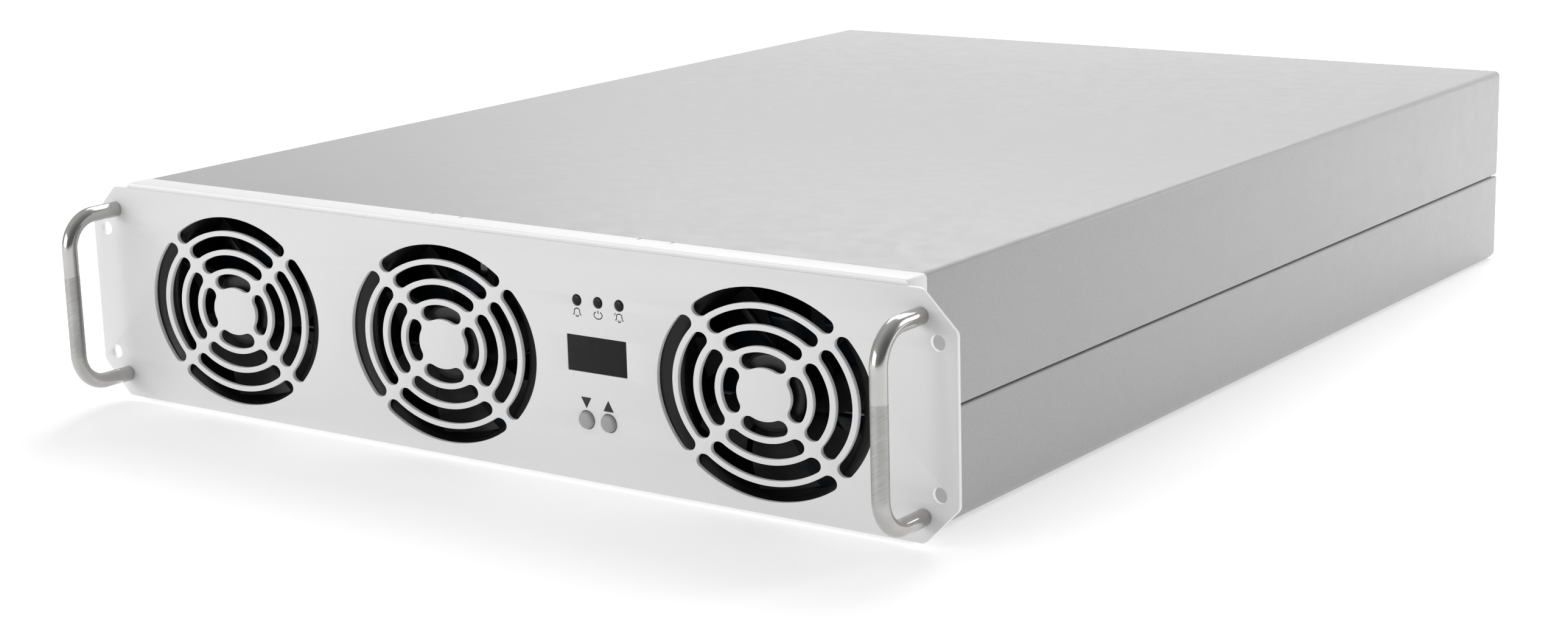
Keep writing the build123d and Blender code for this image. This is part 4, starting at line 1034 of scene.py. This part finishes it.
def add_fans():
    for side in FAN_SIDES:
        x, z = fan_centre(side)
        low, high = box_mm(f"fan_frame_{side}")
        housing = housing_mesh(x, z, low, high)
        piece(f"housing_{side}", housing, "fan_black", "chassis", [f"fan_frame_{side}"])
        low, high = box_mm(f"fan_rotor_{side}")
        rotor = placed(rotor_mesh(low.y, high.y - SHAFT_END), x, 0, z)
        piece(f"rotor_{side}", rotor, "fan_black", f"fan_{side}", [f"fan_rotor_{side}"])


# ---- screen, indicators and buttons ----
def add_screen():
    centre = middle_mm("screen_window")
    low, high = box_mm("screen_window")
    gap = 0.3
    pane = rectangle(centre.x, centre.z, SCREEN_SIZE[0] - gap, SCREEN_SIZE[1] - gap, 0.2, 3)
    flange = rectangle(centre.x, centre.z, high.x - low.x, high.z - low.z, 1.0)
    parts = [
        cut_sheet([pane], (low.y, PLATE_BACK + 0.1), 0.12),
        cut_sheet([flange], (PLATE_BACK, high.y), 0.2),
    ]
    piece("window", joined(parts), "screen_dark", "chassis", ["screen_window"])


def add_indicators():
    low, high = box_mm("indicator_lenses")
    front = low.y
    flange_back = PLATE_BACK + 1.0
    lens = turned([
        (front, 0), (front + 0.02, 0.6), (front + 0.09, 1.2), (front + 0.22, 1.75),
        (front + 0.42, 2.15), (front + 0.7, 2.36), (front + 1.0, LENS_RADIUS), (PLATE_BACK, LENS_RADIUS),
        (PLATE_BACK, LENS_FLANGE_RADIUS), (flange_back, LENS_FLANGE_RADIUS),
        (flange_back, LIGHT_PIPE_RADIUS), (high.y, LIGHT_PIPE_RADIUS), (high.y, 0),
    ])
    places = [(x, 0, z) for x, z in lens_centres()]
    piece("lenses", repeated(lens, places), "lens_black", "chassis", ["indicator_lenses"])


def add_buttons():
    for side in ("down", "up"):
        node = f"button_{side}"
        low, high = box_mm(node)
        front = low.y
        collar_y = (PLATE_BACK + 0.3, PLATE_BACK + 1.3)
        cap = turned([
            (front, 0), (front + 0.03, 1.0), (front + 0.13, 2.0), (front + 0.32, 2.8), (front + 0.55, 3.3),
            (front + 0.85, 3.62), (front + 1.2, 3.77), (front + 1.5, BUTTON_RADIUS),
            (collar_y[0], BUTTON_RADIUS), (collar_y[0], BUTTON_COLLAR_RADIUS),
            (collar_y[1], BUTTON_COLLAR_RADIUS), (collar_y[1], BUTTON_STEM_RADIUS),
            (high.y, BUTTON_STEM_RADIUS), (high.y, 0),
        ], 64)
        centre = middle_mm(node)
        piece(f"cap_{side}", placed(cap, centre.x, 0, centre.z), "button_gray", node, [node])


# ---- printed symbols ----
def ink_line(points, x, z, y, closed=False, width=INK_WIDTH):
    """Flat printed stroke through (x, z) points about a centre, on the plane y."""
    mesh = wire([(along, 0.0, up) for along, up in points], "POLY", width / 2, 3, closed)
    flat = Matrix.Diagonal((1.0, INK_HEIGHT * 2 / width, 1.0, 1.0))
    mesh.transform(Matrix.Translation((x, y, z)) @ flat)
    return cleaned(mesh)


def ink_patch(points, x, z, y):
    """Flat printed area about a centre, on the plane y."""
    outline = [(x + along, z + up) for along, up in points]
    return cut_sheet([outline], (y - INK_HEIGHT, y + INK_HEIGHT), 0.01)


def stretched(points):
    """Symbol points drawn out sideways in the same way as the grilles."""
    return [(along * SYMBOL_STRETCH[0], up * SYMBOL_STRETCH[1]) for along, up in points]


def bell(x, z, y, ringing):
    """Bell outline with a base line and a clapper, with two ticks when it rings."""
    side = [(2.2, -1.5), (1.6, -1.1), (1.4, -0.3), (1.4, 0.7)]
    crown = arc(0.0, 0.7, 1.4, 0, 180, 14)[1:-1]
    body = side + crown + [(-a, b) for a, b in reversed(side)]
    strokes = [
        ink_line(stretched(body), x, z, y, closed=True),
        ink_line(stretched(arc(0.0, -1.65, 0.7, 190, 350, 8)), x, z, y),
        ink_line(stretched([(0.0, 2.1), (0.0, 2.5)]), x, z, y),
    ]
    if ringing:
        for tick in ([(-2.5, 1.2), (-1.9, 1.8)], [(-2.2, 2.1), (-1.7, 2.5)]):
            strokes.append(ink_line(stretched(tick), x, z, y, width=FINE_INK_WIDTH))
    return strokes


def power_sign(x, z, y):
    ring = arc(0.0, -0.2, 2.05, 122, 418, 30)
    bar = [(0.0, 0.5), (0.0, 2.4)]
    return [ink_line(stretched(ring), x, z, y), ink_line(stretched(bar), x, z, y)]


def add_front_printing():
    y = FACE
    lenses = lens_centres()
    z = lenses[0][1] - SYMBOL_DROP
    strokes = bell(lenses[0][0], z, y, False) + power_sign(lenses[1][0], z, y)
    strokes += bell(lenses[2][0], z, y, True)
    for node, sign in (("button_down", -1), ("button_up", 1)):
        centre = middle_mm(node)
        triangle = [(-2.75, -sign * 2.4), (2.75, -sign * 2.4), (0.0, sign * 2.4)]
        strokes.append(ink_patch(triangle, centre.x, centre.z + TRIANGLE_RISE, y))
    piece("front_printing", joined(strokes), "module_black", "chassis", material=INK)


def add_rear_printing():
    y = PANEL_HIGH.y
    strokes = []
    for name, sign in (("terminal_plus", 1), ("terminal_minus", -1)):
        centre = middle_mm(name)
        z = PLATE_MIDDLE_Z + 24.5
        strokes.append(ink_line([(-3.0, 0.0), (3.0, 0.0)], centre.x, z, y, width=1.0))
        if sign > 0:
            strokes.append(ink_line([(0.0, -3.0), (0.0, 3.0)], centre.x, z, y, width=1.0))
    stud = middle_mm("earth_stud")
    earth_x, earth_z = stud.x + 13.0, stud.z
    strokes.append(ink_line([(0.0, 3.2), (0.0, 0.0)], earth_x, earth_z, y, width=0.6))
    for level, half in ((0.0, 3.0), (-1.4, 1.9), (-2.8, 0.8)):
        strokes.append(ink_line([(-half, level), (half, level)], earth_x, earth_z, y, width=0.6))
    breaker_x = middle_mm("breaker_body").x
    strokes.append(ink_line([(0.0, -2.0), (0.0, 2.0)], breaker_x, PLATE_MIDDLE_Z + 31.0, y, width=0.8))
    strokes.append(ink_line(circle(0.0, 0.0, 1.9, 24), breaker_x, PLATE_MIDDLE_Z - 31.0, y, True, 0.7))
    piece("rear_printing", joined(strokes), "module_black", "chassis", material=INK)


# ---- back of the case ----
def panel_outlines():
    width = PANEL_HIGH.x - PANEL_LOW.x
    height = PANEL_HIGH.z - PANEL_LOW.z
    centre_z = (PANEL_HIGH.z + PANEL_LOW.z) / 2
    outlines = [rectangle(0.0, centre_z, width, height, 3.0)]
    for column in range(VENT_COLUMNS):
        x = VENT_FIRST_X + column * VENT_PITCH
        for level in (-1, 1):
            outlines.append(upright_slot(x, centre_z + level * VENT_ROW_OFFSET, VENT_WIDTH, VENT_HEIGHT))
    for name in ("terminal_minus", "terminal_plus"):
        centre = middle_mm(name)
        outlines.append(circle(centre.x, centre.z, BUSH_RADIUS + 0.2))
    breaker = middle_mm("breaker_body")
    outlines.append(rectangle(breaker.x, PLATE_MIDDLE_Z, BREAKER_NECK[0] + 0.6, BREAKER_NECK[1] + 0.6))
    for x, z in jack_centres():
        outlines.append(rectangle(x, z, JACK_BODY[0] + 0.2, JACK_BODY[1] + 0.2))
    stud = middle_mm("earth_stud")
    outlines.append(circle(stud.x, stud.z, EARTH_SHOULDER_RADIUS + 0.3))
    return outlines


def jack_centres():
    low, high = box_mm("data_jacks")
    half = JACK_BODY[0] / 2
    return [(x, (low.z + high.z) / 2) for x in (low.x + half, high.x - half)]


def screw_head(radius, height):
    """Pan head with a cross recess, standing on y = 0 and facing +Y."""
    profile = [(0.0, 0), (0.0, radius), (height * 0.45, radius), (height * 0.75, radius * 0.9)]
    profile += [(height * 0.93, radius * 0.68), (height, radius * 0.35), (height, 0)]
    head = turned(profile, 40)
    half, thin = radius * 0.55, radius * 0.14
    recess_y = (height * 0.35, height + 1.0)
    cross = eased_block((-half, half), recess_y, (-thin, thin), 0.05, 1)
    upright = eased_block((-thin, thin), recess_y, (-half, half), 0.05, 1)
    return carved(carved(head, [cross]), [upright])


def add_rear_panel():
    mesh = cut_sheet(panel_outlines(), (PANEL_LOW.y, PANEL_HIGH.y), 0.2)
    piece("back_panel", mesh, "case_gray", "chassis", ["rear_panel"])
    low_z = SHEET + REAR_LIP - PANEL_SCREW_INSET
    places = [(x, PANEL_HIGH.y, z) for x in PANEL_SCREW_X for z in (low_z, CASE_TOP - low_z)]
    places += [(x, PANEL_HIGH.y, z) for x, z in PILLAR_PLACES]
    heads = repeated(screw_head(*PANEL_SCREW_HEAD), places)
    radius, tip = PANEL_SCREW_RADIUS, -PANEL_SCREW_LENGTH
    shank = turned([(tip, 0), (tip, radius - 0.3), (tip + 0.3, radius), (0.1, radius), (0.1, 0)], 16)
    screws = joined([heads, repeated(shank, places)])
    piece("panel_screws", screws, "fastener_steel", "chassis", ["rear_screws"])


def add_terminals():
    for side in ("minus", "plus"):
        node = f"terminal_{side}"
        low, high = box_mm(node)
        centre = middle_mm(node)
        radius = (high.x - low.x) / 2
        mount = MOUNTS[f"{node}_thread"]["dims"]
        floor = high.y - mount["length_mm"]
        profile = [(low.y, 0), (low.y, radius), (high.y - 0.6, radius), (high.y, radius - 0.6)]
        profile += [(high.y, mount["r_mm"] + 0.9), (high.y - 0.9, mount["r_mm"] + 0.05)]
        profile += thread_rings(high.y - 1.0, floor + 0.6, mount["r_mm"], THREAD_DEPTH)
        profile += [(floor, mount["r_mm"]), (floor, 0)]
        post = placed(turned(profile, 64), centre.x, 0, centre.z)
        piece(f"post_{side}", post, "brass_bare", "chassis", [node])
        low, high = box_mm(f"insulator_{side}")
        width = high.x - low.x
        outer = rectangle(centre.x, centre.z, width, width, 4.0)
        bore = circle(centre.x, centre.z, radius + 0.02, 64)
        flange = cut_sheet([outer, bore], (PANEL_HIGH.y, high.y), 0.7)
        collar_ring = circle(centre.x, centre.z, BUSH_RADIUS, 64)
        collar = cut_sheet([collar_ring, bore], (low.y, PANEL_HIGH.y + 1.0), 0.3)
        rim_ring = circle(centre.x, centre.z, BUSH_RIM_RADIUS, 64)
        rim = cut_sheet([rim_ring, bore], (high.y - 1.2, high.y + 0.9), 0.4)
        slot = "plastic_red" if side == "plus" else "plastic_black"
        piece(f"bush_{side}", joined([flange, collar, rim]), slot, "chassis", [f"insulator_{side}"])


def add_breaker():
    low, high = box_mm("breaker_body")
    x = (low.x + high.x) / 2
    front, step = BREAKER_FRONT + FACE, BREAKER_STEP + FACE
    pocket = rectangle(x, PLATE_MIDDLE_Z, *BREAKER_POCKET, 0.6, 4)
    collar_outline = rectangle(x, PLATE_MIDDLE_Z, *BREAKER_COLLAR, 2.5)
    neck_outline = rectangle(x, PLATE_MIDDLE_Z, *BREAKER_NECK, 0.8)
    half = BREAKER_NECK[0] / 2
    rear_z = (PLATE_MIDDLE_Z - 30.0, PLATE_MIDDLE_Z + 30.0)
    parts = [
        cut_sheet([collar_outline, pocket], (PANEL_HIGH.y, high.y), 0.5),
        cut_sheet([neck_outline, pocket], (step, PANEL_HIGH.y + 0.6), 0.3),
        eased_block((x - half, x + half), (front, step + 0.1), rear_z, 0.6),
    ]
    tip, radius = front - BREAKER_STUD_LENGTH, BREAKER_STUD_RADIUS
    profile = [(tip, 0), (tip, radius - 0.4), (tip + 0.4, radius), (front + 0.5, radius), (front + 0.5, 0)]
    parts += [placed(turned(profile, 32), x, 0, z) for z in BREAKER_STUD_ZS]
    piece("breaker_case", joined(parts), "plastic_black", "chassis", ["breaker_body"])


def add_toggle():
    """Breaker lever with a rounded tip and three grip ribs across its end."""
    joint = JOINTS["breaker_toggle_tilt"]
    pivot = Vector(joint["pos_m"]) / MM
    radius, end = LEVER_HUB[0], LEVER_HUB[1] / 2
    rim = [(-end, radius - 0.4), (0.4 - end, radius), (end - 0.4, radius), (end, radius - 0.4)]
    hub = turned([(-end, 0), *rim, (end, 0)], 48)
    hub.transform(Matrix.Rotation(math.radians(90), 4, "Z"))
    half_x, half_z = LEVER_SIZE[0] / 2, LEVER_SIZE[2] / 2
    lever = eased_block((-half_x, half_x), (0.0, LEVER_SIZE[1]), (-half_z, half_z), 1.0, 4)
    rib_x, rib_z = half_x - 0.5, half_z + 0.3
    ribs = []
    for y in LEVER_RIBS:
        ribs.append(eased_block((-rib_x, rib_x), (y - 0.35, y + 0.35), (-rib_z, rib_z), 0.25, 2))
    toggle = joined([hub, lever, *ribs])
    toggle.transform(Matrix.Rotation(math.radians(LEVER_TILT), 4, "X"))
    piece("lever", placed(toggle, *pivot), "toggle_white", "breaker_toggle", ["breaker_toggle"])


def jack_mouth(x, z):
    """Outline of a socket with the latch's notch in its lower side."""
    side, level = JACK_SOCKET[0] / 2, JACK_SOCKET[1] / 2
    notch, notch_low = JACK_LATCH[0] / 2, level + JACK_LATCH[1]
    left = [(-side, level), (-side, -level), (-notch, -level), (-notch, -notch_low)]
    outline = left + [(-along, up) for along, up in reversed(left)]
    return [(x + along, z + up) for along, up in outline]


def add_data_jacks():
    low, high = box_mm("data_jacks")
    half_x, half_z = JACK_BODY[0] / 2, JACK_BODY[1] / 2
    base = low.y + JACK_BASE
    housings, contacts = [], []
    for x, z in jack_centres():
        outer = rectangle(x, z, *JACK_BODY, 0.6, 4)
        housings.append(cut_sheet([outer, jack_mouth(x, z)], (base, high.y), 0.25))
        base_z = (z - half_z, z + half_z)
        housings.append(eased_block((x - half_x, x + half_x), (low.y, base + 0.2), base_z, 0.4))
        for number in range(JACK_WIRES):
            wire_x = x + (number - (JACK_WIRES - 1) / 2) * JACK_WIRE_PITCH
            run = [(wire_x, base, z + 3.9), (wire_x, base + 9.0, z + 3.6), (wire_x, base + 2.0, z + 1.2)]
            contacts.append(cleaned(wire(run, "BEZIER", JACK_WIRE_RADIUS, 2)))
    piece("jack_housings", joined(housings), "module_black", "chassis", ["data_jacks"])
    piece("jack_contacts", joined(contacts), "brass_bare", "chassis")


def add_earth_stud():
    low, high = box_mm("earth_stud")
    centre = middle_mm("earth_stud")
    shoulder = PANEL_HIGH.y + EARTH_SHOULDER
    profile = [(low.y, 0), (low.y, EARTH_FLANGE_RADIUS), (PANEL_LOW.y, EARTH_FLANGE_RADIUS)]
    profile += [(PANEL_LOW.y, EARTH_SHOULDER_RADIUS), (shoulder, EARTH_SHOULDER_RADIUS)]
    profile += thread_rings(shoulder + 0.1, high.y - 0.8, EARTH_ROOT_RADIUS, 0.45, 1.0)
    profile += [(high.y, 2.1), (high.y, 0)]
    stud = placed(turned(profile, 48), centre.x, 0, centre.z)
    hexagon = arc(centre.x, centre.z, EARTH_NUT_ACROSS / math.sqrt(3.0), 30, 390, 6)[:-1]
    bore = circle(centre.x, centre.z, EARTH_SHOULDER_RADIUS + 0.05, 32)
    nut = cut_sheet([hexagon, bore], [PANEL_HIGH.y + end for end in EARTH_NUT], 0.35)
    disc = circle(centre.x, centre.z, EARTH_WASHER_RADIUS, 40)
    washer = cut_sheet([disc, bore], (PANEL_HIGH.y, PANEL_HIGH.y + EARTH_NUT[0] + 0.05), 0.2)
    piece("earth_bolt", joined([stud, nut, washer]), "fastener_steel", "chassis", ["earth_stud"])


# ---- stage, light and camera ----
def add_floor():
    """Pale table top, softly lit from below as in a product studio."""
    mesh = bpy.data.meshes.new("floor")
    half = 7.0
    level = -0.0003
    corners = [(-half, -half, level), (half, -half, level), (half, half, level), (-half, half, level)]
    mesh.from_pydata(corners, [], [(0, 1, 2, 3)])
    material = base_material("floor_white", specular=0.1)
    feed(material, "Base Color", blended(material, noise(material, 900.0, 1.0), gray(0.93), gray(0.95)))
    feed(material, "Roughness", ranged(material, noise(material, 60.0, 2.0), 0.85, 0.95))
    shader = material.node_tree.nodes["Principled BSDF"]
    shader.inputs["Emission Color"].default_value = (1.0, 1.0, 1.0, 1.0)
    shader.inputs["Emission Strength"].default_value = FLOOR_GLOW
    mesh.materials.append(material)
    floor = bpy.data.objects.new("floor", mesh)
    bpy.context.scene.collection.objects.link(floor)


def add_world():
    """White surroundings, dimmer below the horizon and on the right, for metal to reflect."""
    world = bpy.data.worlds.new("studio")
    bpy.context.scene.world = world
    world.use_nodes = True
    tree = world.node_tree
    background = tree.nodes["Background"]
    background.inputs["Strength"].default_value = WORLD_STRENGTH
    place = tree.nodes.new("ShaderNodeTexCoord")
    upward = tree.nodes.new("ShaderNodeSeparateXYZ")
    tree.links.new(place.outputs["Generated"], upward.inputs["Vector"])
    sky = tree.nodes.new("ShaderNodeValToRGB")
    tree.links.new(upward.outputs["Z"], sky.inputs["Fac"])
    stops = sky.color_ramp.elements
    stops[0].position, stops[0].color = 0.0, (0.66, 0.66, 0.67, 1.0)
    stops[1].position, stops[1].color = 1.0, (1.0, 1.0, 1.0, 1.0)
    stops.new(0.35).color = (0.9, 0.9, 0.91, 1.0)
    sideways = tree.nodes.new("ShaderNodeVectorMath")
    sideways.operation = "DOT_PRODUCT"
    sideways.inputs[1].default_value = DIM_SIDE
    tree.links.new(place.outputs["Generated"], sideways.inputs[0])
    dimming = ranged(world, sideways.outputs["Value"], 1.0, 0.3, (-0.2, 0.9))
    shaded = multiplied(world, sky.outputs["Color"], dimming)
    tree.links.new(shaded, background.inputs["Color"])


def add_area_light(name, place, target, size, power):
    data = bpy.data.lights.new(name, "AREA")
    data.shape = "RECTANGLE"
    data.size, data.size_y = size
    data.energy = power
    light = bpy.data.objects.new(name, data)
    bpy.context.scene.collection.objects.link(light)
    light.location = place
    aim = Vector(target) - Vector(place)
    light.rotation_euler = aim.to_track_quat("-Z", "Y").to_euler()


def add_lights():
    add_area_light("overhead", (-0.35, 1.1, 1.25), (-0.1, 0.45, 0.1), (1.8, 1.1), 23.0)
    add_area_light("right_rear", (1.5, 1.6, 0.75), (0.2, 0.4, 0.05), (0.9, 0.8), 13.0)
    add_area_light("front_fill", (-1.1, -2.3, 0.65), (0.0, -0.3, 0.0), (2.0, 1.0), 23.5)


def add_camera():
    data = bpy.data.cameras.new("camera")
    data.lens = 63.39
    data.sensor_width = 36.0
    camera = bpy.data.objects.new("camera", data)
    bpy.context.scene.collection.objects.link(camera)
    camera.location = (0.77746, -1.15162, 0.33382)
    camera.rotation_euler = [math.radians(angle) for angle in (76.860, 1.4834, 35.3622)]
    bpy.context.scene.camera = camera


# ---- assembly ----
dress_cad_nodes()
add_face_plate()
add_bezel()
add_case()
add_handles()
add_fans()
add_screen()
add_indicators()
add_buttons()
add_front_printing()
add_rear_panel()
add_rear_printing()
add_terminals()
add_breaker()
add_toggle()
add_data_jacks()
add_earth_stud()
add_floor()
add_world()
add_lights()
add_camera()
bpy.context.scene.view_settings.view_transform = "Standard"
